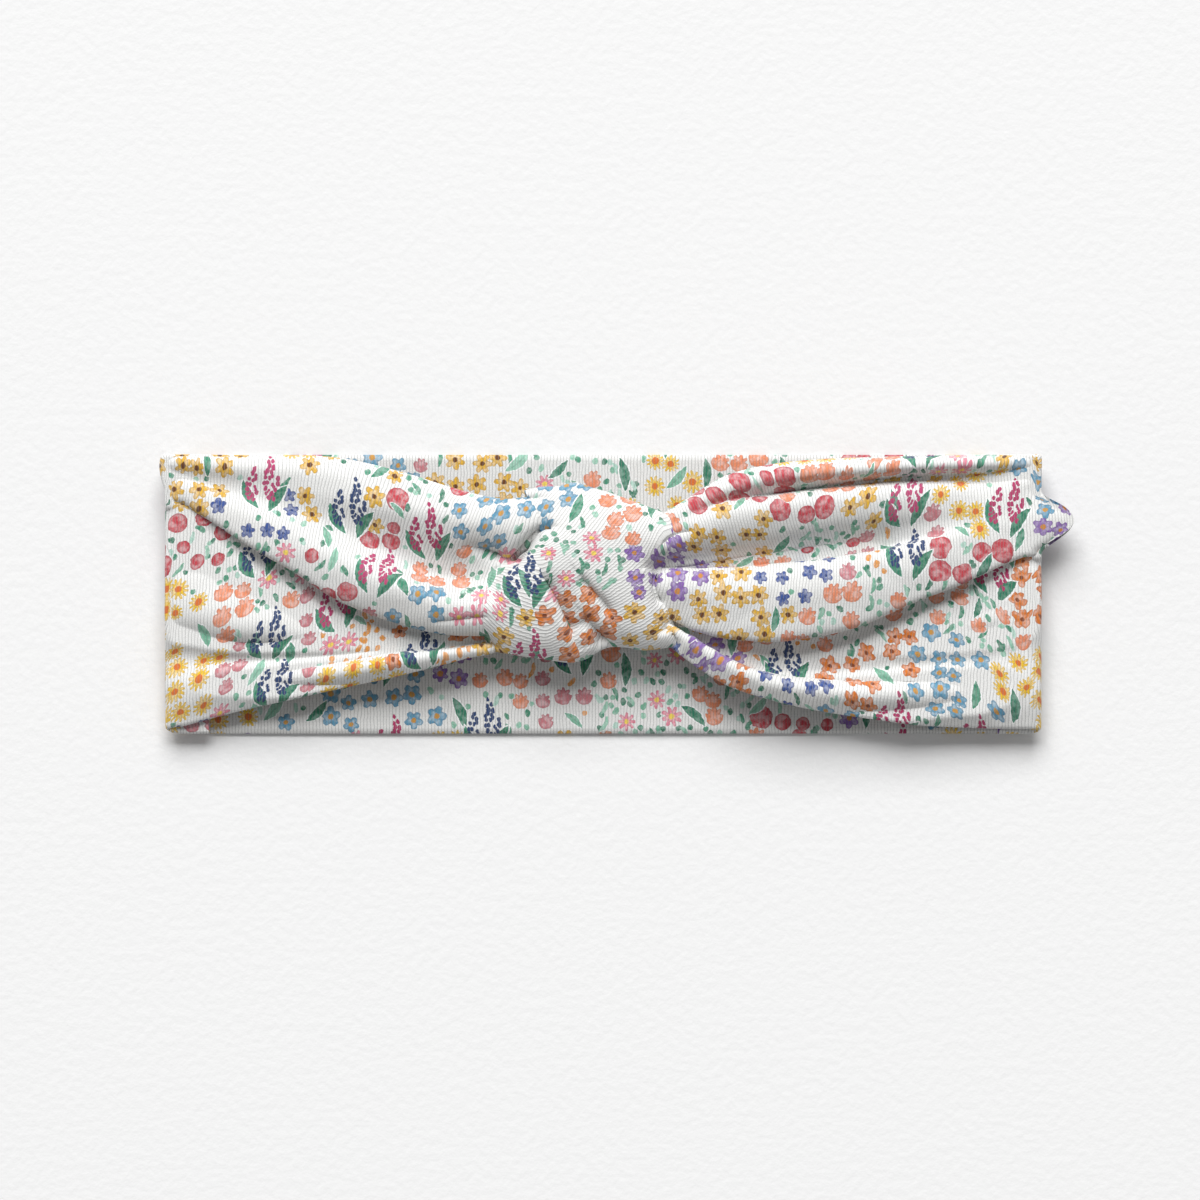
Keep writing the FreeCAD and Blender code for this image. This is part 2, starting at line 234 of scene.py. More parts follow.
LEFT_ARM_X = (-119, -104, -90, -75, -60, -48, -39, -31, -20, -8)
LEFT_ARM = (
    # Y at each station, then Z: the top edge first, then down across the cloth
    ((38.2, 38.1, 38.0, 37.0, 33.6, 29.8, 27.2, 25.8, 26.6, 23.0),
     (6.6, 7.4, 8.4, 9.4, 10.4, 10.8, 11.2, 11.4, 11.0, 10.0)),
    ((36.2, 35.2, 34.4, 33.0, 29.6, 26.0, 23.8, 22.8, 22.8, 20.0),
     (10.2, 11.0, 11.6, 12.4, 13.2, 14.0, 14.6, 14.8, 14.4, 11.8)),
    ((33.4, 30.6, 29.4, 27.2, 23.4, 20.6, 19.4, 19.0, 18.6, 15.0),
     (9.2, 9.8, 11.4, 13.2, 14.8, 15.8, 16.2, 16.4, 15.6, 12.4)),
    ((31.4, 27.0, 23.0, 16.8, 9.4, 4.8, 3.8, 4.8, 7.4, 6.0),
     (8.8, 9.7, 10.8, 11.2, 10.4, 9.4, 10.0, 13.0, 14.4, 12.4)),
    ((30.4, 23.4, 16.4, 8.4, 2.0, -2.4, -3.6, -3.2, -1.8, -1.0),
     (9.8, 12.4, 14.4, 16.2, 17.4, 17.6, 17.4, 17.0, 15.4, 12.6)),
    ((26.0, 15.6, 7.2, -1.9, -7.4, -10.4, -10.8, -10.6, -9.6, -8.0),
     (10.0, 12.2, 13.2, 13.6, 13.4, 13.2, 12.8, 12.6, 12.0, 11.2)),
    ((25.6, 16.6, 8.8, -0.1, -5.4, -8.2, -8.8, -8.8, -8.0, -6.0),
     (9.2, 10.8, 11.6, 11.8, 11.6, 11.4, 11.2, 11.0, 10.6, 10.2)),
    ((25.0, 18.0, 11.6, 5.4, 0.6, 0.0, 0.2, 0.4, 1.0, 1.0),
     (8.6, 9.2, 9.5, 9.8, 10.0, 10.2, 10.2, 10.2, 10.0, 9.8)),
    ((24.2, 13.6, 5.4, -3.8, -9.2, -11.8, -12.2, -12.0, -10.4, -9.0),
     (6.2, 5.2, 4.9, 4.9, 5.1, 5.9, 7.2, 8.1, 9.0, 9.2)),
    ((-5.0, -9.0, -10.8, -11.8, -12.8, -13.4, -13.2, -12.8, -11.2, -10.0),
     (10.2, 11.4, 9.8, 7.8, 7.2, 8.0, 9.4, 10.1, 10.2, 10.0)),
    ((-17.4, -18.2, -17.8, -16.8, -15.4, -14.9, -14.2, -13.4, -11.8, -10.6),
     (4.1, 4.2, 4.5, 5.0, 6.0, 7.6, 9.3, 10.1, 10.2, 10.0)),
    ((-25.0, -23.4, -22.4, -20.8, -18.0, -16.2, -15.1, -14.2, -12.6, -11.2),
     (5.4, 7.6, 9.8, 11.8, 13.0, 13.2, 12.6, 11.8, 11.0, 10.2)),
    ((-36.2, -32.0, -29.0, -25.7, -22.2, -19.2, -17.0, -15.4, -13.6, -12.0),
     (2.8, 3.2, 5.0, 7.6, 9.8, 11.0, 11.2, 10.8, 10.4, 10.0)),
)
LEFT_CREST = 4              # the guide on which the print keeps its place

RIGHT_ARM_X = (111, 102, 92, 80, 68, 55, 42, 30, 21, 12, 2)
RIGHT_ARM = (
    ((38.2, 38.0, 37.7, 37.3, 36.9, 36.4, 35.2, 32.2, 27.0, 21.4, 16.0),
     (6.8, 7.4, 8.0, 8.6, 9.4, 10.2, 10.7, 11.2, 11.4, 11.2, 10.5)),
    ((36.2, 35.8, 35.6, 35.2, 34.4, 33.4, 31.6, 28.8, 24.6, 19.6, 15.0),
     (9.6, 12.4, 14.4, 15.2, 15.4, 15.4, 15.2, 15.0, 14.8, 14.0, 12.0)),
    ((33.0, 31.8, 31.8, 31.4, 30.4, 28.8, 27.2, 25.4, 22.2, 17.8, 14.0),
     (8.0, 7.0, 6.8, 7.0, 7.6, 8.2, 9.6, 12.6, 15.0, 14.8, 12.4)),
    ((30.6, 28.8, 28.8, 28.4, 27.6, 26.4, 24.8, 22.6, 19.6, 15.8, 12.5),
     (9.4, 10.8, 12.4, 13.8, 15.0, 15.9, 16.4, 16.6, 16.4, 15.6, 12.8)),
    ((28.2, 25.4, 24.4, 23.2, 21.6, 19.4, 17.2, 15.6, 14.0, 12.4, 10.0),
     (9.4, 12.0, 13.0, 13.8, 14.5, 14.9, 15.0, 15.2, 15.4, 15.4, 12.8)),
    ((26.2, 22.6, 20.2, 18.0, 15.8, 13.4, 11.3, 9.9, 9.4, 9.2, 7.8),
     (9.6, 12.3, 12.7, 11.6, 9.8, 8.7, 8.5, 9.0, 10.6, 12.6, 12.2)),
    ((24.2, 20.4, 17.4, 13.8, 11.0, 9.0, 7.6, 6.5, 6.4, 7.0, 6.5),
     (9.8, 12.4, 13.0, 11.2, 7.6, 5.6, 5.3, 5.7, 6.8, 9.0, 9.6)),
    ((23.0, 19.0, 16.2, 12.8, 10.2, 8.4, 7.1, 6.1, 5.9, 6.0, 5.0),
     (10.0, 12.8, 14.2, 15.0, 15.1, 14.5, 14.0, 13.8, 13.6, 12.8, 11.6)),
    ((21.8, 17.0, 13.0, 8.4, 4.6, 2.8, 1.8, 1.4, 1.8, 2.4, 2.0),
     (10.4, 13.0, 14.6, 15.8, 16.6, 17.0, 17.0, 16.4, 15.6, 14.4, 12.6)),
    ((18.6, 13.0, 8.0, 2.8, -1.6, -4.4, -5.6, -5.8, -4.6, -2.2, -2.0),
     (10.6, 13.0, 14.3, 15.4, 16.1, 16.4, 16.3, 15.6, 14.6, 13.1, 11.8)),
    ((10.8, 6.8, 2.3, -2.4, -7.6, -11.0, -12.6, -11.8, -9.4, -5.4, -4.0),
     (10.6, 12.4, 13.4, 13.8, 14.2, 14.4, 14.4, 13.8, 12.8, 11.4, 10.4)),
    ((11.2, 8.4, 4.2, -0.4, -5.4, -8.8, -10.4, -9.6, -7.4, -4.0, -3.0),
     (10.0, 11.0, 11.6, 12.0, 12.3, 12.5, 12.4, 12.0, 11.2, 10.4, 10.0)),
    ((11.0, 10.0, 7.0, 3.0, -1.6, -4.0, -4.8, -4.2, -3.0, -1.0, 0.0),
     (8.2, 8.6, 9.2, 9.7, 9.9, 10.1, 10.1, 10.0, 9.8, 9.7, 9.5)),
    ((10.0, 5.6, 0.9, -4.0, -9.2, -12.6, -14.2, -13.4, -10.6, -6.6, -5.0),
     (5.6, 5.0, 4.9, 4.8, 4.8, 4.9, 5.3, 6.4, 8.0, 9.0, 9.2)),
    ((-3.0, -6.8, -9.6, -12.6, -15.2, -17.2, -17.8, -15.8, -11.9, -7.4, -5.8),
     (8.8, 9.4, 8.8, 7.2, 5.8, 5.0, 5.1, 6.3, 8.2, 9.6, 9.6)),
    ((-14.4, -16.8, -18.4, -20.0, -21.2, -21.6, -21.2, -18.0, -13.0, -8.2, -6.7),
     (5.4, 5.3, 5.2, 4.9, 4.7, 4.7, 5.3, 6.9, 9.0, 10.0, 9.8)),
    ((-27.0, -27.0, -27.0, -27.2, -27.0, -26.0, -23.6, -18.8, -13.2, -8.4, -7.0),
     (5.6, 7.6, 9.4, 11.0, 12.2, 13.2, 13.8, 14.2, 14.0, 13.0, 11.2)),
    ((-36.8, -36.7, -36.4, -35.6, -34.0, -31.8, -28.9, -25.0, -19.6, -13.0, -10.0),
     (2.8, 2.9, 3.4, 4.8, 6.9, 9.2, 10.8, 11.6, 11.4, 11.0, 10.0)),
)
RIGHT_CREST = 8

# The slack at the side folds: Y, then how far the cloth stands out past the plain fold.
EAR = ((12.3, 0.0), (14.4, 4.2), (17.0, 9.6), (18.6, 12.2), (20.4, 13.2), (21.8, 12.6),
       (23.0, 10.8), (24.4, 8.0), (25.6, 4.8), (26.6, 1.2), (27.6, 0.0))
BULGE = ((29.5, 0.0), (32.0, 1.4), (35.5, 2.2), (37.4, 1.8), (38.5, 0.6))
FOLD_ROWS = 36              # rows of an arm's grid that lie under the band and round the fold
TURN_ROWS = 26              # of them, those round the fold


def side_fold(first_row, fold_x, seam_x, slack):
    """Rows from the side seam under the band, round the fold, up to the arm's first row."""
    outward = math.copysign(1.0, fold_x - seam_x)
    top_y = first_row[:, 1]
    flat_y = np.linspace(HALF_WIDTH, -HALF_WIDTH, len(top_y))
    knots, reach = zip(*slack)
    reach = running_mean(np.interp(top_y, knots, reach, left=0.0, right=0.0))
    rows = []
    for x in np.linspace(seam_x, fold_x, FOLD_ROWS - TURN_ROWS, endpoint=False):
        rows.append(np.stack([np.full_like(top_y, x), flat_y, np.full_like(top_y, MID_LOW)], axis=1))
    for turn in np.linspace(0, math.pi, TURN_ROWS, endpoint=False):
        blend = (1 - math.cos(turn)) / 2
        y = flat_y + (top_y - flat_y) * blend
        out = FOLD_MID_RADIUS + reach * blend ** 0.5
        x = fold_x + outward * out * math.sin(turn)
        top_z = first_row[:, 2]
        z = MID_LOW + (top_z - MID_LOW) * blend
        rows.append(np.stack([x, y, z], axis=1))
    return np.stack(rows)


def arm_grid(xs, table, fold_x, seam_x, slack):
    """The whole middle surface of one arm, from its side seam to inside the knot."""
    top = relax(skin(guide_lines(xs, table), rows=130, columns=190), 3)
    return relax(np.concatenate([side_fold(top[0], fold_x, seam_x, slack), top]), 4)


# ---------------------------------------------------------------- the knot

KNOT = (
    # closed rings of guides, each from the knot's left rim to its right rim, under side first
    ((-31.0, 2.0, 8.4), (-22, 3.0, 7.8), (-12, 4.0, 7.7), (-2, 4.0, 7.7), (11.6, 2.0, 8.4)),
    ((-34.6, -10.4, 8.8), (-26, -12.0, 8.3), (-17, -13.0, 8.1), (-9, -12.2, 8.0),
     (-4, -10.0, 8.0), (1, -9.8, 8.0), (7, -10.4, 8.2), (15.0, -10.2, 8.8)),
    ((-35.6, -14.8, 11.2), (-26, -16.2, 12.0), (-18, -17.4, 12.2), (-12.6, -18.0, 12.2), (-8.8, -17.0, 12.2),
     (-5.8, -15.2, 12.0), (-2.4, -13.8, 12.0), (2, -13.8, 12.2), (7, -14.6, 12.0), (15.8, -13.6, 11.4)),
    ((-36.2, -10.4, 13.6), (-26, -12.4, 15.8), (-17, -13.2, 16.4), (-9, -12.6, 16.2),
     (-4, -11.0, 15.6), (2, -10.4, 16.2), (8, -10.8, 15.6), (15.6, -9.6, 13.4)),
    ((-36.4, -3.5, 15.6), (-27, -4.5, 18.0), (-17, -5.0, 19.0), (-8, -4.5, 18.8),
     (-1, -4.0, 18.6), (5, -3.8, 18.0), (9.4, -4.0, 16.8), (13.2, -4.0, 14.6)),
    ((-35.2, 3.4, 15.6), (-27, 3.6, 18.6), (-17, 3.8, 20.2), (-8, 4.0, 20.4),
     (-1, 4.0, 19.8), (4, 3.8, 18.6), (7.8, 3.2, 17.0), (11.0, 2.6, 14.6)),
    ((-31.4, 8.6, 14.8), (-25, 10.0, 18.0), (-16, 11.2, 20.0), (-8, 11.6, 20.2),
     (-1, 11.4, 19.6), (5, 10.8, 18.0), (9, 9.8, 16.4), (12.6, 9.0, 14.6)),
    ((-24.0, 15.8, 15.0), (-18.5, 16.6, 17.6), (-12, 17.6, 18.8), (-5, 17.8, 19.0),
     (1, 17.2, 18.4), (6, 16.2, 17.4), (10, 15.2, 16.2), (14.8, 14.0, 14.8)),
    ((-21.4, 20.4, 14.8), (-16, 22.6, 15.8), (-10, 24.0, 16.4), (-4, 23.4, 16.4),
     (1, 22.0, 16.0), (6, 20.6, 15.4), (10, 19.2, 14.8), (14.8, 17.8, 14.2)),
    ((-25.6, 27.6, 11.4), (-21, 28.6, 11.4), (-16, 28.8, 11.4), (-11.8, 29.8, 11.4), (-7.7, 28.5, 11.4),
     (-2, 26.8, 11.4), (4, 24.6, 11.3), (9, 22.8, 11.2), (13.6, 20.8, 11.2)),
    ((-24.0, 22.0, 8.6), (-16, 23.5, 8.0), (-9, 24.0, 7.9), (-3, 22.5, 7.9),
     (3, 20.6, 7.9), (8, 18.6, 8.0), (13.0, 17.0, 8.4)),
)
RIM_GUIDES = slice(2, 10)   # the guides whose ends make up the visible rims

# Creases pressed into the knot and the cloth beside it. Depth at the start and at the end, then
# half-width on the left of the line's way and on its right, then the line in plan.
CREASES = (
    # between the knot's folds
    (2.2, 2.4, 2.4, 0.4, ((-21.4, 5.8), (-19.8, 2.6), (-16.2, -4.1), (-13.6, -9.6), (-12.2, -13.6))),
    (1.7, 1.9, 0.6, 0.4, ((-20.6, 4.6), (-19.4, 2.2), (-16.0, -4.3), (-13.4, -9.8), (-12.4, -12.4))),
    (1.7, 2.0, 0.7, 2.2, ((-10.6, 6.0), (-8.6, 3.4), (-6.2, 0.8), (-3.2, -2.4), (-0.9, -6.4))),
    (1.4, 2.6, 0.9, 2.6, ((-9.6, -5.0), (-7.8, -7.6), (-5.4, -10.2), (-3.4, -13.0), (-3.2, -16.0))),
    # pleats where the left arm runs under the knot
    (0.5, 1.1, 0.5, 0.6, ((-50.4, -7.3), (-44.0, -6.9), (-39.0, -6.3), (-35.6, -6.0))),
    # the notch above them, and the edge that runs up from it
    (0.4, 3.4, 2.0, 1.0, ((-44.0, 13.8), (-38.0, 11.8), (-34.0, 10.2), (-30.6, 8.8))),
    (3.4, 2.2, 0.6, 1.8, ((-31.4, 8.6), (-28.6, 10.6), (-26.0, 13.4), (-22.8, 17.2), (-20.6, 18.6))),
    (1.4, 2.6, 0.8, 1.0, ((-22.8, 17.8), (-20.0, 18.4), (-17.4, 18.6))),
    # the pinch at the right
    (2.0, 1.4, 2.4, 0.8, ((8.6, 7.0), (12.0, 7.6), (20.0, 7.6), (32.0, 8.2), (46.0, 10.0), (58.0, 12.0))),
    (0.7, 0.7, 0.8, 0.8, ((11.0, 12.9), (15.9, 16.3), (21.0, 17.3))),
    (2.0, 1.2, 0.7, 1.2, ((11.0, 7.4), (10.4, 3.0), (10.9, -0.4), (12.6, -3.6))),
    (0.8, 1.0, 0.8, 0.8, ((14.4, -8.6), (15.4, -11.6), (16.4, -14.6))),
)
CREASE_STRENGTH = 1.35
CREASE_POINTS = 60          # places along a crease's line
CREASE_FADE = 0.22          # share of its length over which each end fades
CREASE_END = 0.25           # share of its depth that is left at its ends
HALO_SHARE = 0.32           # share of its depth in the wide, soft part of its section
HALO_WIDTH = 2.6            # and how many times wider that part is
LAYER_FLOOR = 10.0          # creases leave what lies lower than this alone
WRINKLE_LENGTH = 22.0
WRINKLE_WIDTH = 5.5
TUCK_START = 0.6            # how far inside the rim the cloth starts to go down
TUCK_RUN = 3.0
TUCK_DEPTH = 3.2
TUCK_FLOOR = 9.0            # cloth below this height is raised again
ABOVE_ALL = 50.0            # a height above every piece
RIM_LIFT = 0.06             # the knot's rim above the arm's cloth
RIM_REACH = 7.0             # how far in from a rim the knot's cloth moves with it
RIM_MOST = 4.5              # the most that a rim moves
RIM_FACING = 0.1            # a rim's cloth moves where its normal points up by more than this


def press_in(grid, normals, creases):
    """Push creases into the upper side of a grid."""
    plan = grid[..., :2].reshape(-1, 2)
    for near, far, left_width, right_width, line in creases:
        line = evenly(smooth_through([(x, y, 0.0) for x, y in line]), CREASE_POINTS)[:, :2]
        ways = np.gradient(line, axis=0)
        away = plan[:, None] - line[None]
        gaps = np.linalg.norm(away, axis=2)
        nearest = gaps.argmin(axis=1)
        gap = gaps.min(axis=1)
        way = ways[nearest]
        offset = away[np.arange(len(plan)), nearest]
        on_left = way[:, 0] * offset[:, 1] - way[:, 1] * offset[:, 0] > 0
        share = nearest / (len(line) - 1)
        depth = CREASE_STRENGTH * (near + (far - near) * share)
        taper = eased(np.clip(np.minimum(share, 1 - share) / CREASE_FADE, 0, 1))
        taper = CREASE_END + (1 - CREASE_END) * taper
        gap = gap / np.where(on_left, left_width, right_width)
        core = (1 - HALO_SHARE) * np.exp(-gap ** 2)
        halo = HALO_SHARE * np.exp(-(gap / HALO_WIDTH) ** 2)
        push = (depth * taper * (core + halo)).reshape(grid.shape[:2])
        push = push * np.clip(normals[..., 2] * 2, 0, 1)
        push = push * np.clip((grid[..., 2] - LAYER_FLOOR) / 2, 0, 1)
        grid = grid - normals * push[..., None]
    return grid


def wrinkle(grid, normals, near, far, seed):
    """Soft folds that run along the cloth. near and far are their heights at its two ends."""
    rows, columns = grid.shape[:2]
    along = arc_lengths(grid, 0)
    across = arc_lengths(grid, 1)
    heights = np.linspace(near, far, rows)
    push = np.zeros((rows, columns))
    for row in range(FOLD_ROWS - TURN_ROWS // 2, rows):
        for column in range(columns):
            place = (along[row, column] / WRINKLE_LENGTH + seed, across[row, column] / WRINKLE_WIDTH, seed)
            push[row, column] = noise.noise(Vector(place)) * heights[row]
    return grid + normals * push[..., None]


def rim_line(end):
    """The knot's visible rim at one end, as its Y values and the X at each."""
    points = sorted((guide[end][1], guide[end][0]) for guide in KNOT[RIM_GUIDES])
    return zip(*points)


def tuck_under(grid, end, inward):
    """Lower an arm's cloth where it has gone in under the knot's rim.

    Then raise all of its cloth below the floor, tucked in or not, by the same depth at most.
    """
    rim_y, rim_x = rim_line(end)
    inside = (grid[..., 0] - np.interp(grid[..., 1], rim_y, rim_x)) * inward - TUCK_START
    grid = grid.copy()
    grid[..., 2] -= TUCK_DEPTH * eased(np.clip(inside / TUCK_RUN, 0, 1))
    grid[..., 2] = np.maximum(grid[..., 2], np.minimum(grid[..., 2] + TUCK_DEPTH, TUCK_FLOOR))
    return grid


def height_finder(grid):
    """A function that gives the highest Z of a grid at a place, or None."""
    rows, columns = grid.shape[:2]
    index = np.arange(rows * columns).reshape(rows, columns)
    quads = np.stack([index[:-1, :-1], index[1:, :-1], index[1:, 1:], index[:-1, 1:]], axis=-1)
    tree = BVHTree.FromPolygons(grid.reshape(-1, 3).tolist(), quads.reshape(-1, 4).tolist())
    down = Vector((0.0, 0.0, -1.0))

    def find(x, y):
        hit = tree.ray_cast(Vector((x, y, ABOVE_ALL)), down)[0]
        return None if hit is None else hit.z

    return find


def meet_arms(grid, finders):
    """Bring the knot's two rims level with the arms' cloth, fading out inwards."""
    normals = outward_normals(grid)
    for end, find in zip((0, -1), finders):
        offsets = np.full(grid.shape[1], np.nan)
        for column in range(grid.shape[1]):
            x, y, z = grid[end, column]
            height = find(x, y)
            if height is None or normals[end, column, 2] < RIM_FACING or abs(height - z) > RIM_MOST:
                continue
            offsets[column] = height + RIM_LIFT - z
        known = np.flatnonzero(~np.isnan(offsets))
        offsets = np.interp(np.arange(len(offsets)), known, offsets[known], left=0.0, right=0.0)
        top_share = np.clip(normals[end, :, 2] * 3 + 0.5, 0, 1)
        offsets = running_mean(offsets * top_share)
        run = arc_lengths(grid, 0)
        run = run if end == 0 else run[-1:] - run
        grid[..., 2] += offsets * eased(np.clip(1 - run / RIM_REACH, 0, 1))
    return grid


# ---------------------------------------------------------------- meshes

SHARP_ANGLE = math.radians(70)


def show(name, data):
    """A new object in the scene."""
    shown = bpy.data.objects.new(name, data)
    bpy.context.scene.collection.objects.link(shown)
    return shown


def new_mesh(name, points, faces):
    """A smooth-shaded mesh."""
    mesh = bpy.data.meshes.new(name)
    mesh.from_pydata(points, [], faces)
    mesh.update()
    mesh.polygons.foreach_set("use_smooth", np.ones(len(mesh.polygons), dtype=bool))
    return mesh


def edge_draw(grid, axis=1):
    """0 at the edges at both ends of an axis, rising to 1 a little way in, for every grid point."""
    lengths = arc_lengths(grid, axis)
    from_edge = np.minimum(lengths, np.take(lengths, [-1], axis=axis) - lengths)
    inward = np.clip(from_edge / EDGE_ROUND, 0, 1)
    return np.sqrt(1 - (1 - inward) ** 2)


def ply_shell(name, grid, normals, outer, inner, layers, closed=False):
    """A closed sheet of cloth between two offsets of a grid. layers are its UV maps, in mm."""
    rows, columns = grid.shape[:2]
    top = grid + normals * outer[..., None]
    bottom = grid + normals * inner[..., None]
    points = np.concatenate([top.reshape(-1, 3), bottom.reshape(-1, 3)]) * MM
    flat_index = np.arange(rows * columns).reshape(rows, columns)
    index = flat_index
    if closed:
        index = np.concatenate([index[:, :-1], index[:, :1]], axis=1)
    quads = []
    corners = []

    def add(places_of, flip):
        """Add the faces that a function picks from the upper and lower points, and their UV places."""
        for table, sink in (((index, index + count), quads), ((flat_index, flat_index), corners)):
            faces = np.stack(places_of(*table), axis=-1).reshape(-1, 4)
            sink.append(faces[:, ::-1] if flip else faces)

    def square(table):
        return table[:-1, :-1], table[1:, :-1], table[1:, 1:], table[:-1, 1:]

    def rim(upper, lower):
        return upper[:-1], upper[1:], lower[1:], lower[:-1]

    count = rows * columns
    add(lambda upper, lower: square(upper), True)
    add(lambda upper, lower: square(lower), False)
    for row, flip in ((0, False), (-1, True)):
        add(lambda upper, lower: rim(upper[row], lower[row]), flip)
    if not closed:
        for column, flip in ((0, True), (-1, False)):
            add(lambda upper, lower: rim(upper[:, column], lower[:, column]), flip)
    mesh = new_mesh(name, points.tolist(), np.concatenate(quads).tolist())
    corners = np.concatenate(corners).ravel()
    for layer_name, places in layers.items():
        layer = mesh.uv_layers.new(name=layer_name)
        flat = places.reshape(-1, 2) * MM
        layer.data.foreach_set("uv", flat[corners].astype(np.float32).ravel())
    mesh.set_sharp_from_angle(angle=SHARP_ANGLE)
    return show(name, mesh)


def layers_of(places, hints, print_shift):
    """The UV maps of a piece: Print for the pattern, Ribs for the knit."""
    ribs = rib_places(places, hints)
    return {"Print": places + np.array(print_shift), "Ribs": np.stack([ribs, places[..., 1]], axis=2)}


# ---------------------------------------------------------------- materials

def linear(code):
    """A hex colour as the linear values that shaders take."""
    values = [int(code[i:i + 2], 16) / 255 for i in (0, 2, 4)]
    curve = [v / 12.92 if v <= 0.04045 else ((v + 0.055) / 1.055) ** 2.4 for v in values]
    return (*curve, 1.0)


def operator(operation, swapped=False):
    """The method of Value that stands for a Python operator."""
    def method(self, other=0.0):
        pair = (other, self) if swapped else (self, other)
        return self.graph.math(operation, *pair)
    return method


class Value:
    """A shader node's output, on which Python's operators add Math nodes."""

    def __init__(self, graph, socket):
        self.graph = graph
        self.socket = socket

    __add__ = operator("ADD")
    __sub__ = operator("SUBTRACT")
    __rsub__ = operator("SUBTRACT", swapped=True)
    __mul__ = operator("MULTIPLY")
    __truediv__ = operator("DIVIDE")
    __pow__ = operator("POWER")
    __lt__ = operator("LESS_THAN")
    __gt__ = operator("GREATER_THAN")
    __abs__ = operator("ABSOLUTE")


class Graph:
    """A short way to write shader nodes: most methods add a node and return its output."""

    MIX_INPUTS = (0, 6, 7)      # a Mix node's factor and its two colours
    MIX_OUTPUT = 2              # and its mixed colour

    def __init__(self, name):
        self.material = bpy.data.materials.new(name)
        self.material.use_nodes = True
        self.tree = self.material.node_tree
        self.tree.nodes.clear()

    def node(self, kind, inputs=None, **settings):
        """A new node, with its settings and then what goes into its sockets."""
        made = self.tree.nodes.new(kind)
        for key, value in settings.items():
            setattr(made, key, value)
        for key, value in (inputs or {}).items():
            if isinstance(value, Value):
                self.tree.links.new(value.socket, made.inputs[key])
            else:
                made.inputs[key].default_value = value
        return made

    def out(self, made, output=0):
        return Value(self, made.outputs[output])

    def math(self, operation, first, second=0.0):
        return self.out(self.node("ShaderNodeMath", {0: first, 1: second}, operation=operation))

    def vector(self, operation, first, second):
        return self.out(self.node("ShaderNodeVectorMath", {0: first, 1: second}, operation=operation))

    def scaled(self, vector, scale):
        return self.out(self.node("ShaderNodeVectorMath", {0: vector, "Scale": scale}, operation="SCALE"))

    def length(self, vector):
        return self.out(self.node("ShaderNodeVectorMath", {0: vector}, operation="LENGTH"), "Value")

    def split(self, vector):
        made = self.node("ShaderNodeSeparateXYZ", {0: vector})
        return [self.out(made, i) for i in range(3)]

    def join(self, x, y):
        return self.out(self.node("ShaderNodeCombineXYZ", {0: x, 1: y}))

    def mix(self, factor, first, second, blend="MIX"):
        inputs = dict(zip(self.MIX_INPUTS, (factor, first, second)))
        made = self.node("ShaderNodeMix", inputs, data_type="RGBA", blend_type=blend)
        return self.out(made, self.MIX_OUTPUT)

    def step(self, value, low, high):
        """0 below low, 1 above high, smooth between. low may be above high."""
        inputs = {0: value, 1: low, 2: high}
        return self.out(self.node("ShaderNodeMapRange", inputs, interpolation_type="SMOOTHSTEP"))

    def ramp(self, factor, colours):
        """One flat colour for each equal share of 0 to 1."""
        made = self.node("ShaderNodeValToRGB", {0: factor})
        ramp = made.color_ramp
        ramp.interpolation = "CONSTANT"
        while len(ramp.elements) < len(colours):
            ramp.elements.new(1.0)
        for i, colour in enumerate(colours):
            ramp.elements[i].position = i / len(colours)
            ramp.elements[i].color = colour
        return self.out(made)

    def cells(self, vector, randomness, feature="F1"):
        """The outputs of a cell pattern, by name."""
        inputs = {"Vector": vector, "Scale": 1.0, "Randomness": randomness}
        made = self.node("ShaderNodeTexVoronoi", inputs, voronoi_dimensions="2D", feature=feature)
        return {socket.name: Value(self, socket) for socket in made.outputs}

    def room(self, vector, randomness):
        """The radius of the free circle round the centre of the cell a place is in."""
        return self.cells(vector, randomness, "N_SPHERE_RADIUS")["Radius"]

    def noise(self, vector, scale, detail=2.0, output=0):
        inputs = {"Vector": vector, "Scale": scale, "Detail": detail}
        return self.out(self.node("ShaderNodeTexNoise", inputs, noise_dimensions="2D"), output)

    def surface(self, base, roughness, height, strength, depth, constants):
        """Ends the graph in a bumped surface and returns the material."""
        bump = self.node("ShaderNodeBump", {"Strength": strength, "Distance": depth, "Height": height})
        inputs = {"Base Color": base, "Roughness": roughness, "Normal": self.out(bump), **constants}
        shader = self.node("ShaderNodeBsdfPrincipled", inputs)
        self.node("ShaderNodeOutputMaterial", {0: self.out(shader)})
        return self.material


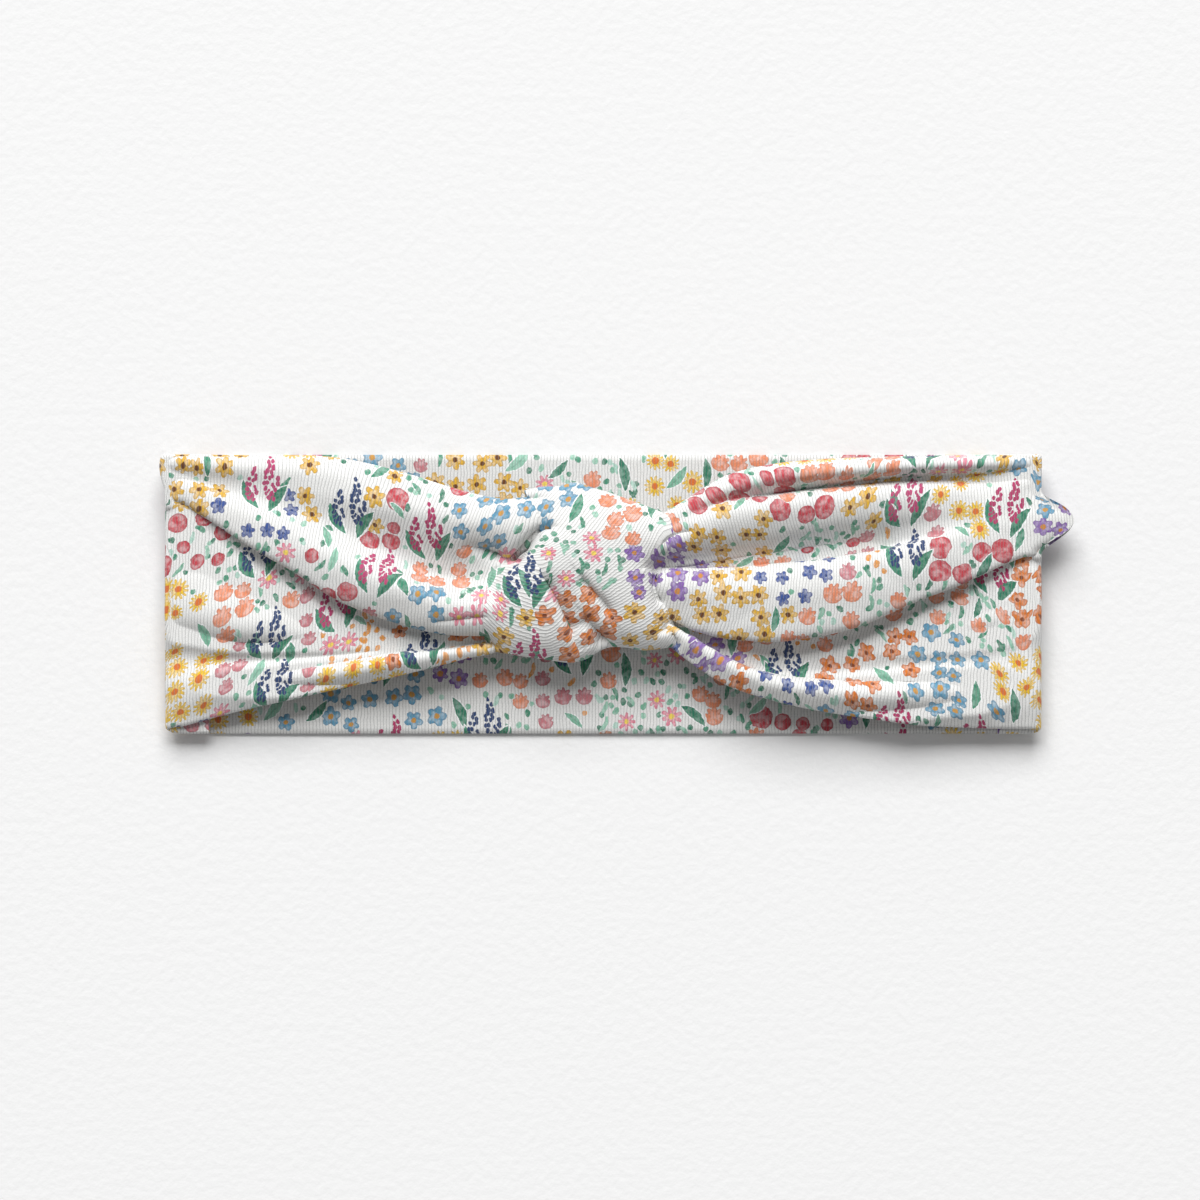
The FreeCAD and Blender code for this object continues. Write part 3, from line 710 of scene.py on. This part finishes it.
# The flower kinds of the print. Petals is the number of petals, reach their length and notch
# how deep the gaps between them are, as a share; heart is the centre's radius; sizes in mm.
# A cup of 1 makes an upright tulip, notched along its upper side only. Share is how many of a
# patch's places have a flower, spread how much their sizes vary, leafy how full of leaves it is.
FLOWERS = (
    # petal colour, centre colour, petals, reach, notch, heart, cup, share, spread, leafy
    ("f0c430", "dd7430", 12, 3.05, 0.40, 0.95, 0, 0.97, 0.22, 0.10),
    ("3a579c", "263f7c", 5, 2.1, 0.34, 0.40, 0, 0.92, 0.24, 0.35),
    ("ec9068", "d97850", 8, 2.6, 0.30, 0.00, 1, 0.74, 0.26, 0.75),
    ("8a63b2", "cf8c42", 6, 3.0, 0.30, 0.80, 0, 0.92, 0.28, 0.30),
    ("5f9dbd", "cf9848", 5, 2.6, 0.30, 0.75, 0, 0.95, 0.26, 0.12),
    ("ea8a9e", "f4d660", 8, 2.9, 0.50, 0.75, 0, 0.62, 0.28, 1.00),
    ("dd7a28", "8a4520", 5, 3.0, 0.34, 0.60, 0, 0.92, 0.24, 0.15),
    ("c9444f", "bb3a48", 1, 3.4, 0.03, 0.00, 0, 0.60, 0.62, 0.70),
    ("e6b437", "6c3e14", 6, 2.9, 0.40, 0.70, 0, 0.95, 0.24, 0.15),
    ("cb7c84", "b9606e", 8, 2.3, 0.30, 0.00, 1, 0.90, 0.30, 0.20),
    ("f0c430", "dd7430", 12, 2.9, 0.40, 0.90, 0, 0.97, 0.26, 0.12),
    ("ea8a9e", "f4d660", 8, 2.7, 0.50, 0.75, 0, 0.50, 0.28, 1.00),
    ("8a63b2", "cf8c42", 6, 2.9, 0.30, 0.75, 0, 0.90, 0.28, 0.30),
    ("ec9068", "d97850", 8, 2.5, 0.30, 0.00, 1, 0.66, 0.30, 0.85),
)
LEAF_GREENS = ("3f8f70", "79b79b", "2f7d61", "98ccb4", "4c9a7b", "b0d8c8")
BERRY_TONES = ("b43a68", "2f4672", "bd4674", "2f4672")
WHITE = (1.0, 1.0, 1.0, 1.0)
CELL = 5.9                  # spacing of the small flowers, mm
PETAL_SCALE = 16.0          # petal counts are stored in a ramp divided by this
REACH_SCALE = 5.0           # and reaches and hearts by this
PATCH = 21.0                # size of a patch of one kind
BIGGEST = 1.14              # the largest flower of a kind, as a share of its reach
SPIRE_SPACING = 25.0
SPIRE_SHARE = 0.5           # of the places for a spire, how many have one
SPIRE_ROOM = 7.4            # the free radius that a spire needs
SPIRE_OVAL = (7.6, 5.2)     # half the length and width of what a spire keeps free
SPIRE_LEAVES = ((-0.46, 1.4, "37876a"), (0.50, -1.4, "2f7a5e"))     # lean, foot and colour
SPIRES = (
    # lean, foot's X and Y, length and half-width of each flower spike of a spire
    (-0.06, -4.6, -2.5, 13.0, 2.2),
    (0.12, -5.4, 3.2, 10.0, 1.9),
)
FLORET = (1.50, 1.12)       # spacing of a spike's florets along it and across
BIG_LEAF_SPACING = 11.0
BIG_LEAF_SHARE = 0.24
BIG_LEAF_ROOM = 4.6         # with less free radius than this, a large leaf is smaller
BIG_LEAF_OVAL = (4.9, 1.5)
SMALL_LEAVES = (
    # spacing, offset, half-length, half-width and share of the two kinds of loose leaves
    (2.9, (9.3, 2.9, 0.0), 1.25, 0.78, 0.95),
    (4.9, (1.3, 8.9, 0.0), 2.9, 0.62, 1.0),
)
RIB_PITCH = 0.88
LOOP_PITCH = 0.72


def turned(g, local, angle):
    """Local coordinates turned by an angle."""
    inputs = {"Vector": local, "Angle": angle}
    return g.split(g.out(g.node("ShaderNodeVectorRotate", inputs, rotation_type="Z_AXIS")))


def scattered(g, cloth, spacing, randomness, offset):
    """Cells about spacing mm apart: the place within each in mm, its randoms, its centre, its room.

    The centre is given on the cloth; the room is the radius of the free circle round it, in mm.
    """
    point = g.scaled(g.vector("ADD", cloth, offset), 1 / spacing)
    cell = g.cells(point, randomness)
    local = g.scaled(g.vector("SUBTRACT", point, cell["Position"]), spacing)
    centre = g.vector("SUBTRACT", g.scaled(cell["Position"], spacing), offset)
    return local, g.split(cell["Color"]), centre, g.room(point, randomness) * spacing


def spire_places(g, cloth):
    """Where a place is within its spire's cell, turned upright, if one is shown, and its tone."""
    local, chance, _, room = scattered(g, cloth, SPIRE_SPACING, 0.7, (7.7, 4.2, 0.0))
    x, y, _ = turned(g, local, chance[0] * 0.5 - 1.82)
    return x, y, (chance[2] < SPIRE_SHARE) * (room > SPIRE_ROOM), chance[1]


def big_leaf_places(g, cloth):
    """The same for the large leaves, scaled to the room that there is."""
    local, chance, _, room = scattered(g, cloth, BIG_LEAF_SPACING, 0.7, (5.3, 8.1, 0.0))
    x, y, _ = turned(g, local, chance[0] * 1.9 + 0.62)
    size = g.math("MINIMUM", room / BIG_LEAF_ROOM, 1.0)
    return x / size, y / size, chance[2] < BIG_LEAF_SHARE, chance[1]


def oval(x, y, half_length, half_width):
    """0 at the centre of an oval, 1 on its outline."""
    x = x / half_length
    y = y / half_width
    return x * x + y * y


def free_of_large(g, place, margin):
    """1 where a place lies farther than margin from every spire and large leaf, else 0."""
    taken = []
    for places, (half_length, half_width) in ((spire_places, SPIRE_OVAL), (big_leaf_places, BIG_LEAF_OVAL)):
        x, y, shown, _ = places(g, place)
        taken.append(shown * (oval(x, y, half_length + margin, half_width + margin) < 1.0))
    return 1.0 - g.math("MAXIMUM", *taken)


def flower_places(g, cloth):
    """The small flower nearest to a place: where it is from there, its randoms, kind, size, reach."""
    local, chance, centre, room = scattered(g, cloth, CELL, 0.45, (3.1, 1.7, 0.0))
    patch = g.split(g.cells(g.scaled(centre, 1 / PATCH), 0.9)["Color"])
    forms = [(f[2] / PETAL_SCALE, f[3] / REACH_SCALE, f[4], 1.0) for f in FLOWERS]
    form = g.split(g.ramp(patch[0], forms))
    share, spread, leafy = g.split(g.ramp(patch[0], [(*f[7:10], 1.0) for f in FLOWERS]))
    size = BIGGEST - (1.0 - chance[1]) * spread
    shown = (chance[2] < share) * free_of_large(g, centre, 2.0)
    reach = form[1] * REACH_SCALE * size
    reach = g.math("MINIMUM", reach, room * 1.24) * shown
    return local, chance, patch, form, size, reach, leafy


def print_flowers(g, cloth, colour):
    """Small flowers, of one kind for each patch. Also returns 1 where a place is clear of them."""
    local, chance, (kind, *_), form, size, reach, _ = flower_places(g, cloth)
    petal_colour = g.ramp(kind, [linear(f[0]) for f in FLOWERS])
    heart_colour = g.ramp(kind, [linear(f[1]) for f in FLOWERS])
    centres = [(f[5] / REACH_SCALE, 1 - 0.92 * f[6], f[6], 1.0) for f in FLOWERS]
    heart, spin, cup = g.split(g.ramp(kind, centres))
    x, y, _ = turned(g, local, chance[0] * math.tau * spin)
    radius = g.length(local)
    wave = g.math("COSINE", g.math("ARCTAN2", y, x) * (form[0] * PETAL_SCALE))
    gap = ((1.0 - wave) * 0.5) ** 1.6
    gap = gap * (1.0 - g.step(y, 0.5, -0.3) * cup)
    depth = reach * (1.0 - gap * form[2]) - radius
    inside = g.step(depth, -0.05, 0.12)
    rim = g.step(depth, 0.75, 0.1)
    wash = g.step(g.noise(cloth, 0.55, 3.0), 0.35, 0.7)
    petals = g.mix(wash * 0.36, petal_colour, WHITE)
    petals = g.mix(rim * 0.55, petals, petal_colour)
    vein = g.step(gap, 0.15, 0.6) * g.step(depth, 1.1, 0.2)
    petals = g.mix(g.math("MAXIMUM", vein, rim * 0.7) * 0.24, petals, linear("402030"))
    colour = g.mix(inside, colour, petals)
    in_heart = g.step(heart * REACH_SCALE * size - radius, -0.1, 0.15) * inside
    colour = g.mix(in_heart, colour, heart_colour)
    return colour, g.step(radius - reach, 0.0, 0.3)


def leaf_shape(g, x, y, half_length, half_width):
    """Inside a pointed leaf that lies along x: 1, else 0."""
    across = x / half_length
    return g.step((1.0 - across * across) * half_width - abs(y), -0.03, 0.12)


def print_leaves(g, cloth, colour, clear, spacing, offset, half_length, half_width, share):
    """Loose small leaves in the gaps between the flowers."""
    local, chance, centre, room = scattered(g, cloth, spacing, 0.8, offset)
    x, y, _ = turned(g, local, chance[0] * 1.7 + 0.72)
    length = g.math("MINIMUM", (chance[1] * 0.4 + 0.6) * half_length, room * 1.25)
    inside = g.step(1.0 - oval(x, y + x * x * 0.09, length, half_width), -0.06, 0.2)
    from_flower, _, patch, _, _, reach, leafy = flower_places(g, centre)
    gap = g.length(from_flower) - reach
    shown = (chance[2] < leafy * share) * (gap > length * 0.3 + half_width * 0.8)
    shown = shown * free_of_large(g, centre, 0.6)
    tone = g.ramp(g.math("FRACT", chance[0] * 7.3), [linear(c) for c in LEAF_GREENS])
    tone = g.mix(patch[1] > 0.87, tone, linear("e69a44"))
    wash = g.step(g.noise(cloth, 0.8), 0.35, 0.7)
    tone = g.mix(wash * 0.22, tone, WHITE)
    return g.mix(inside * shown * clear, colour, tone)


def print_big_leaves(g, cloth, colour):
    """Now and then one large leaf among the rest."""
    x, y, shown, chance = big_leaf_places(g, cloth)
    y = y + x * x * 0.03
    colour = g.mix(leaf_shape(g, x, y, 5.2, 1.75) * shown, colour, WHITE)
    green = g.ramp(chance, [linear(c) for c in LEAF_GREENS[:4]])
    green = g.mix(g.step(abs(y), 0.35, 0.1) * 0.3, green, linear("2c7459"))
    wash = g.step(g.noise(cloth, 0.6), 0.35, 0.7)
    green = g.mix(wash * 0.3, green, linear("d5efe4"))
    return g.mix(leaf_shape(g, x, y, 4.8, 1.4) * shown, colour, green)


def print_spires(g, cloth, colour):
    """Now and then a pair of flower spikes between two leaves."""
    x, y, shown, chance = spire_places(g, cloth)
    wash = g.step(g.noise(cloth, 0.7), 0.35, 0.75)
    for lean, foot, tone in SPIRE_LEAVES:
        leaf_x, leaf_y, _ = turned(g, g.join(x + 8.4, y - foot), lean)
        leaf_x = leaf_x - 5.2
        leaf_y = leaf_y + leaf_x * leaf_x * 0.03
        colour = g.mix(leaf_shape(g, leaf_x, leaf_y, 5.5, 2.0) * shown, colour, WHITE)
        green = g.mix(wash * 0.35, linear(tone), linear("a6d8c0"))
        colour = g.mix(leaf_shape(g, leaf_x, leaf_y, 5.0, 1.5) * shown, colour, green)
    tone = g.ramp(chance, [linear(c) for c in BERRY_TONES])
    for lean, foot_x, foot_y, length, half_width in SPIRES:
        high, aside, _ = turned(g, g.join(x - foot_x, y - foot_y), lean)
        florets = g.join(high / FLORET[0], aside / FLORET[1])
        cell = g.cells(florets, 0.75)
        place_x, place_y, _ = g.split(cell["Position"])
        share = place_x * FLORET[0] / length
        width = g.math("MINIMUM", (1.1 - share) * (half_width * 1.9), half_width)
        width = g.math("MINIMUM", width, share * 9.0 + 0.9)
        within = (width > abs(place_y * FLORET[1])) * (share < 1.0) * (share > 0.0)
        floret = g.step(g.room(florets, 0.75) * 1.38 - cell["Distance"], -0.06, 0.06)
        colour = g.mix(floret * within * shown, colour, tone)
    return colour


def jersey(name, ground):
    """Printed rib jersey: ribs across the band, knit loops along them, ink that thins in the grooves and
    painted shade that darkens them.
    """
    g = Graph(name)
    cloth, knit = (g.scaled(g.out(g.node("ShaderNodeUVMap", uv_map=layer)), 1 / MM)
                   for layer in ("Print", "Ribs"))
    wobble = g.vector("SUBTRACT", g.noise(cloth, 0.9, output="Color"), (0.5, 0.5, 0.5))
    drawn = g.vector("ADD", cloth, g.scaled(wobble, 0.55))
    white = linear(ground)
    inked, clear = print_flowers(g, drawn, white)
    for leaves in SMALL_LEAVES:
        inked = print_leaves(g, drawn, inked, clear, *leaves)
    inked = print_spires(g, drawn, print_big_leaves(g, drawn, inked))
    along, across, _ = g.split(knit)
    drift = g.noise(cloth, 0.25) * 0.8
    rib = abs(g.math("SINE", (along + drift) * (math.pi / RIB_PITCH))) ** 0.55
    loop = g.math("SINE", (across + rib * 0.25) * (math.tau / LOOP_PITCH))
    fuzz = g.noise(cloth, 5.5, 4.0)
    height = rib * 0.75 + loop * 0.07 + fuzz * 0.35
    inked = g.mix(g.step(rib, 0.75, 0.25) * 0.24, inked, white)
    # painted shade: the rib grooves are darkened in the colour, by an amount that varies along the knit
    # loops
    painted_groove_shade = (1.0 - g.step(rib, 0.15, 0.75)) * (loop * 0.15 + 0.38)
    grain = (g.noise(cloth, 1.6, 3.0) - 0.5) * 0.22
    # the cloth's tone: random grain, less the painted groove shade, times an overall darkening that varies
    # slightly along the loops
    shade = (grain + 1.0 - painted_groove_shade) * (loop * 0.025 + 0.81)
    base = g.mix(1.0, inked, shade, "MULTIPLY")
    return g.surface(base, fuzz * 0.15 + 0.78, height, strength=0.55, depth=0.00032, constants={
        "Specular IOR Level": 0.25, "Sheen Weight": 0.18, "Sheen Roughness": 0.6})


def thread_material():
    """Spun white sewing thread, with its twist."""
    g = Graph("sewing_thread")
    place = g.out(g.node("ShaderNodeTexCoord"), "Object")
    inputs = {"Vector": place, "Scale": 3500.0, "Distortion": 1.0}
    twist = g.out(g.node("ShaderNodeTexWave", inputs, wave_type="BANDS", bands_direction="DIAGONAL"))
    base = g.mix(twist, linear("dcdad4"), linear("f6f5f1"))
    return g.surface(base, twist * 0.1 + 0.55, twist, strength=0.5, depth=0.00005,
                     constants={"Sheen Weight": 0.2})


def paper_material():
    """Pale textured paper."""
    g = Graph("paper")
    place = g.out(g.node("ShaderNodeTexCoord"), "Object")
    tooth = g.out(g.node("ShaderNodeTexNoise", {"Vector": place, "Scale": 420.0, "Detail": 3.0}))
    return g.surface(linear("e3e3e3"), 0.95, tooth, strength=0.35, depth=0.0004,
                     constants={"Specular IOR Level": 0.1})


PRINT = jersey("printed_jersey", "f0f0ee")
PRINT_INSIDE = jersey("printed_jersey_inside", "ececea")
THREAD = thread_material()


# ---------------------------------------------------------------- pieces

EDGE_HALF = 0.12            # half a tube's thickness at its turned edges
KNOT_RIM = 0.1              # thickness of the knot's cloth at its rims
CORE_HALF = (0.05, 0.4)     # half the gathered cloth's thickness at its edges, and what it gains inside


def finish_piece(piece, material, slot, *nodes):
    """Give a piece its material, hang it on the root body and hide the CAD parts it replaces. The slot is
    not used.
    """
    piece.data.materials.append(material)
    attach(piece, "root")
    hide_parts(*nodes)


def tube_of(grid, places, hints, face_name, lining_name, print_shift):
    normals = normals_of(grid)
    draw = edge_draw(grid)
    outer = EDGE_HALF + (PLY_OUTER - EDGE_HALF) * draw
    inner = PLY_INNER * draw
    layers = layers_of(places, hints, print_shift)
    face = ply_shell(face_name, grid, normals, outer, inner, layers)
    lining = ply_shell(lining_name, grid, normals, -inner, -outer, layers)
    finish_piece(face, PRINT, "print_jersey", face_name)
    finish_piece(lining, PRINT_INSIDE, "print_jersey_inside", lining_name)


# Where the ribs run, as X, Y and their angle in degrees from +X.
LEFT_RIBS = (
    (-120, 30, 90), (-120, 0, 90), (-120, -30, 90), (-98, 32, 90), (-98, 4, 90), (-98, -24, 90),
    (-78, 26, 82), (-60, 24, 72), (-46, 20, 62), (-36, 18, 60), (-30, 22, 60), (-70, 0, 90),
    (-52, -3, 88), (-42, -3, 84), (-50, -14, 88), (-70, -18, 90), (-38, -12, 86))
RIGHT_RIBS = (
    (112, 30, 90), (112, 0, 90), (112, -30, 90), (92, 30, 92), (92, 4, 90), (92, -26, 90),
    (72, 26, 98), (56, 22, 106), (40, 20, 114), (26, 16, 120), (18, 14, 118), (70, 2, 88),
    (50, 0, 82), (34, 0, 78), (20, 1, 76), (16, -6, 62), (28, -17, 62), (42, -24, 70), (60, -28, 82))
KNOT_RIBS = (
    (-32, 0, -28), (-30, -10, -30), (-25, 3, -28), (-24, -8, -26), (-26, 10, -14),
    (-15, 7, 34), (-6, 8, 36), (-14, -8, 56), (-9, -10, 57), (-10, 22, 57), (-18, 24, 60), (-1, 20, 57),
    (4, 3, 40), (5, -6, 32), (9, -12, 26), (8, 17, 62), (13, 12, 74))
REAR_RIBS = ((0, 0, 90),)


ARMS = (
    # side, stations, guides, crest, X of the fold and the seam, slack, ribs, knot's end, wrinkles' seed
    ("left", LEFT_ARM_X, LEFT_ARM, LEFT_CREST, LEFT_FOLD_X, LEFT_SEAM_X, BULGE, LEFT_RIBS, 0, 3.0),
    ("right", RIGHT_ARM_X, RIGHT_ARM, RIGHT_CREST, RIGHT_FOLD_X, RIGHT_SEAM_X, EAR, RIGHT_RIBS, -1, 9.0),
)
WRINKLES = (0.1, 0.45)      # their height at an arm's side fold and at the knot
KNOT_CREST = ((-40.0, 20.0), (4.0, 4.0))


def make_arms():
    """Both arms. Returns a height finder for each, for the knot's rims, and the seams' paths."""
    finders = []
    paths = {}
    for side, xs, table, crest, fold_x, seam_x, slack, hints, end, seed in ARMS:
        outward = math.copysign(1.0, fold_x - seam_x)
        grid = arm_grid(xs, table, fold_x, seam_x, slack)
        grid = wrinkle(grid, normals_of(grid) * -outward, *WRINKLES, seed)
        places = print_places(grid, (xs, table[crest][0]), FOLD_ROWS, outward)
        finders.append(height_finder(grid))
        grid = press_in(grid, normals_of(grid) * -outward, CREASES)
        grid = tuck_under(grid, end, -outward)
        paths[f"{side}_arm_top_seam_thread"] = seam_path(grid, SEAM_INSET)
        paths[f"{side}_arm_bottom_seam_thread"] = seam_path(grid, -SEAM_INSET)
        if side == "right":
            grid = grid[:, ::-1]
            places = places[:, ::-1]
        tube_of(grid, places, hints, f"{side}_arm_face_panel", f"{side}_arm_lining_panel",
                (0.0, 0.0))
    return finders, paths


def make_rear():
    """The flat rear half, under the band."""
    xs = np.linspace(LEFT_SEAM_X, RIGHT_SEAM_X, 220)
    ys = np.linspace(-HALF_WIDTH, HALF_WIDTH, 90)
    grid = np.zeros((len(xs), len(ys), 3))
    grid[..., 0] = xs[:, None]
    grid[..., 1] = ys[None]
    grid[..., 2] = MID_LOW
    tube_of(grid, grid[..., :2].copy(), REAR_RIBS, "rear_outer_panel", "rear_inner_panel",
            (260.0, 40.0))


def make_knot(finders):
    """The knot's wrap. Returns a height finder for it mirrored through the origin, for the tacks."""
    grid = skin(KNOT, rows=158, columns=300, closed=True)
    grid = relax(grid, 4, closed=True)
    grid = meet_arms(grid, finders)
    places = print_places(grid, KNOT_CREST)
    grid = press_in(grid, outward_normals(grid), CREASES)
    grid = relax(grid, 1, closed=True)
    normals = outward_normals(grid)
    outer = np.full(grid.shape[:2], PLY_OUTER)
    inner = PLY_OUTER - KNOT_RIM - (2 * PLY_OUTER - KNOT_RIM) * edge_draw(grid, 0)
    piece = ply_shell("knot_wrap", grid, normals, outer, inner,
                      layers_of(places, KNOT_RIBS, (0.0, 0.0)), closed=True)
    finish_piece(piece, PRINT, "print_jersey", "knot_wrap")
    return height_finder(-grid)


CORE = (
    # guides of the gathered cloth inside the knot, folded over itself twice
    ((-27, -7.0, 10.8), (-18, -10.5, 10.4), (-8, -9.5, 10.2), (2, -7.5, 10.4), (9, -5.0, 10.8)),
    ((-26, 4.0, 10.4), (-17, 6.0, 9.8), (-8, 6.0, 9.6), (2, 5.0, 9.8), (8, 3.0, 10.4)),
    ((-23, 9.0, 10.8), (-16, 17.0, 10.4), (-8, 18.5, 10.2), (2, 15.0, 10.4), (8, 9.0, 10.8)),
    ((-23, 9.8, 11.8), (-16, 18.0, 11.5), (-8, 19.5, 11.4), (2, 16.0, 11.5), (8, 9.6, 11.6)),
    ((-23, 9.0, 12.6), (-16, 17.0, 12.6), (-8, 18.5, 12.6), (2, 15.0, 12.6), (8, 9.0, 12.2)),
    ((-26, 4.0, 12.4), (-17, 6.0, 12.4), (-8, 6.0, 12.4), (2, 5.0, 12.4), (8, 3.0, 12.0)),
    ((-26, -6.0, 12.8), (-18, -9.0, 12.8), (-8, -8.5, 12.8), (2, -6.5, 12.6), (8, -3.0, 12.2)),
    ((-26, -6.8, 13.6), (-18, -9.8, 13.8), (-8, -9.2, 13.8), (2, -7.2, 13.4), (8, -3.6, 12.8)),
    ((-26, -5.6, 14.2), (-18, -8.6, 14.8), (-8, -8.0, 14.8), (2, -6.0, 14.2), (8, -2.6, 13.2)),
    ((-24, 5.0, 14.0), (-17, 10.0, 14.8), (-8, 11.0, 14.8), (2, 9.0, 14.2), (8, 4.0, 13.2)),
)


def make_core():
    """The gathered cloth inside the knot."""
    grid = relax(skin(CORE, rows=90, columns=200), 3)
    thickness = CORE_HALF[1] * edge_draw(grid) + CORE_HALF[0]
    places = print_places(grid, KNOT_CREST)
    piece = ply_shell("knot_core", grid, normals_of(grid), thickness, -thickness,
                      layers_of(places, REAR_RIBS, (40.0, 90.0)))
    finish_piece(piece, PRINT_INSIDE, "print_jersey_inside", "knot_core")


# ---------------------------------------------------------------- seams

SEAM_INSET = 1.5            # the long seams, in from a tube's turned edges
THREAD_RADIUS = 0.13
THREAD_SIDES = 8
THREAD_STEP = 0.3           # between the rings of points along a thread
STEEP = 0.9                 # a thread that rises faster than this takes +X as its up
STITCH = 2.4                # length of a stitch
REAR_SEAM_GAP = 0.3         # the rear seams stop this far from the side seams
SIDE_SEAM_HALF = 37.4       # half a side seam's length
SIDE_SEAM_SWAY = 0.7        # how far its stitches go to either side
TACK_YS = (-6.0, 0.0, 6.0)
TACK = ((-11.4, -0.7), (-11.0, 0.0), (-9.0, 0.12), (-7.0, 0.0), (-6.6, -0.7))   # X, and how far out


def seam_path(grid, inset):
    """The line on a grid that lies inset from its first edge, or from its last where negative."""
    across = arc_lengths(grid, 1)
    wanted = inset if inset > 0 else across[:, -1] + inset
    wanted = np.broadcast_to(wanted, len(grid))
    points = [[np.interp(place, lengths, row[:, k]) for k in range(3)]
              for place, lengths, row in zip(wanted, across, grid)]
    return np.array(points)[1:]


def thread_piece(name, paths, sideways=0.0):
    """Sewing thread along each path, going from side to side of it at every stitch."""
    points = []
    faces = []
    for path in paths:
        length = np.linalg.norm(np.diff(path, axis=0), axis=1).sum()
        line = evenly(path, int(length / THREAD_STEP) + 2)
        run = np.linspace(0, length, len(line))
        way = np.gradient(line, axis=0)
        way /= np.linalg.norm(way, axis=1, keepdims=True)
        up = np.tile((0.0, 0.0, 1.0), (len(line), 1))
        up[np.abs(way[:, 2]) > STEEP] = (1.0, 0.0, 0.0)
        side = np.cross(way, up)
        side /= np.linalg.norm(side, axis=1, keepdims=True)
        line = line + side * (sideways * np.sin(run * math.pi / STITCH))[:, None]
        up = np.cross(side, way)
        first = len(points)
        for turn in range(THREAD_SIDES):
            angle = turn * math.tau / THREAD_SIDES
            ring = line + (side * math.cos(angle) + up * math.sin(angle)) * THREAD_RADIUS
            points.extend((ring * MM).tolist())
        count = len(line)
        for turn in range(THREAD_SIDES):
            a = first + turn * count
            b = first + (turn + 1) % THREAD_SIDES * count
            faces.extend((a + i, a + i + 1, b + i + 1, b + i) for i in range(count - 1))
        for end in (0, count - 1):
            cap = [first + turn * count + end for turn in range(THREAD_SIDES)]
            faces.append(cap if end else cap[::-1])
    finish_piece(show(name, new_mesh(name, points, faces)), THREAD, "sewing_thread", name)


def make_threads(paths):
    """The seams inside the tubes, the two side seams and the knot's tacking stitches."""
    for name, path in paths.items():
        thread_piece(name, [path])
    for name, y in (("rear_top_seam_thread", HALF_WIDTH - SEAM_INSET),
                    ("rear_bottom_seam_thread", SEAM_INSET - HALF_WIDTH)):
        ends = (LEFT_SEAM_X + REAR_SEAM_GAP, RIGHT_SEAM_X - REAR_SEAM_GAP)
        thread_piece(name, [np.array([[x, y, MID_LOW] for x in ends])])
    for name, x in (("left_side_seam_thread", LEFT_SEAM_X), ("right_side_seam_thread", RIGHT_SEAM_X)):
        ends = (-SIDE_SEAM_HALF, SIDE_SEAM_HALF)
        thread_piece(name, [np.array([[x, y, MID_LOW] for y in ends])], SIDE_SEAM_SWAY)
    tacks = []
    for y in TACK_YS:
        stitch = []
        for x, sink in TACK:
            under = -knot_below(-x, -y) - PLY_OUTER
            stitch.append((x, y, under - sink))
        tacks.append(smooth_through(stitch))
    thread_piece("knot_tack_stitches", tacks)


arm_heights, seam_paths = make_arms()
make_rear()
knot_below = make_knot(arm_heights)
make_core()
make_threads(seam_paths)


# ---------------------------------------------------------------- stage

PAPER_HALF = 1.5
WINDOW_PLACE = (-0.7, 8.4, 7.4)
WINDOW_SIZE = (8.4, 6.8)
WINDOW_POWER = 1950.0
ROOM_LIGHT = 0.30
SENSOR = 36.0
VIEW_WIDTH = 0.3292         # the square frame's side on the paper
CAMERA_PLACE = (-0.0049, -0.0016, 2.2)


def make_stage():
    """The sheet of paper that the band lies on."""
    mesh = bpy.data.meshes.new("paper")
    corners = [(x * PAPER_HALF, y * PAPER_HALF, 0) for x, y in ((-1, -1), (1, -1), (1, 1), (-1, 1))]
    mesh.from_pydata(corners, [], [(0, 1, 2, 3)])
    mesh.materials.append(paper_material())
    show("paper", mesh)


def make_light():
    """A large window, high up beyond the band's upper edge, and the room's own light."""
    light = bpy.data.lights.new("window", "AREA")
    light.shape = "RECTANGLE"
    light.size, light.size_y = WINDOW_SIZE
    light.energy = WINDOW_POWER
    lamp = show("window", light)
    lamp.location = WINDOW_PLACE
    lamp.rotation_euler = (-Vector(WINDOW_PLACE)).to_track_quat("-Z", "Y").to_euler()
    world = bpy.data.worlds.new("room")
    world.use_nodes = True
    background = world.node_tree.nodes["Background"]
    background.inputs["Color"].default_value = WHITE
    background.inputs["Strength"].default_value = ROOM_LIGHT
    bpy.context.scene.world = world


def make_camera():
    """A camera straight above."""
    camera = bpy.data.cameras.new("camera")
    camera.sensor_width = SENSOR
    camera.lens = SENSOR * CAMERA_PLACE[2] / VIEW_WIDTH
    seen = show("camera", camera)
    seen.location = CAMERA_PLACE
    bpy.context.scene.camera = seen


make_stage()
make_light()
make_camera()
bpy.context.scene.view_settings.view_transform = "Standard"
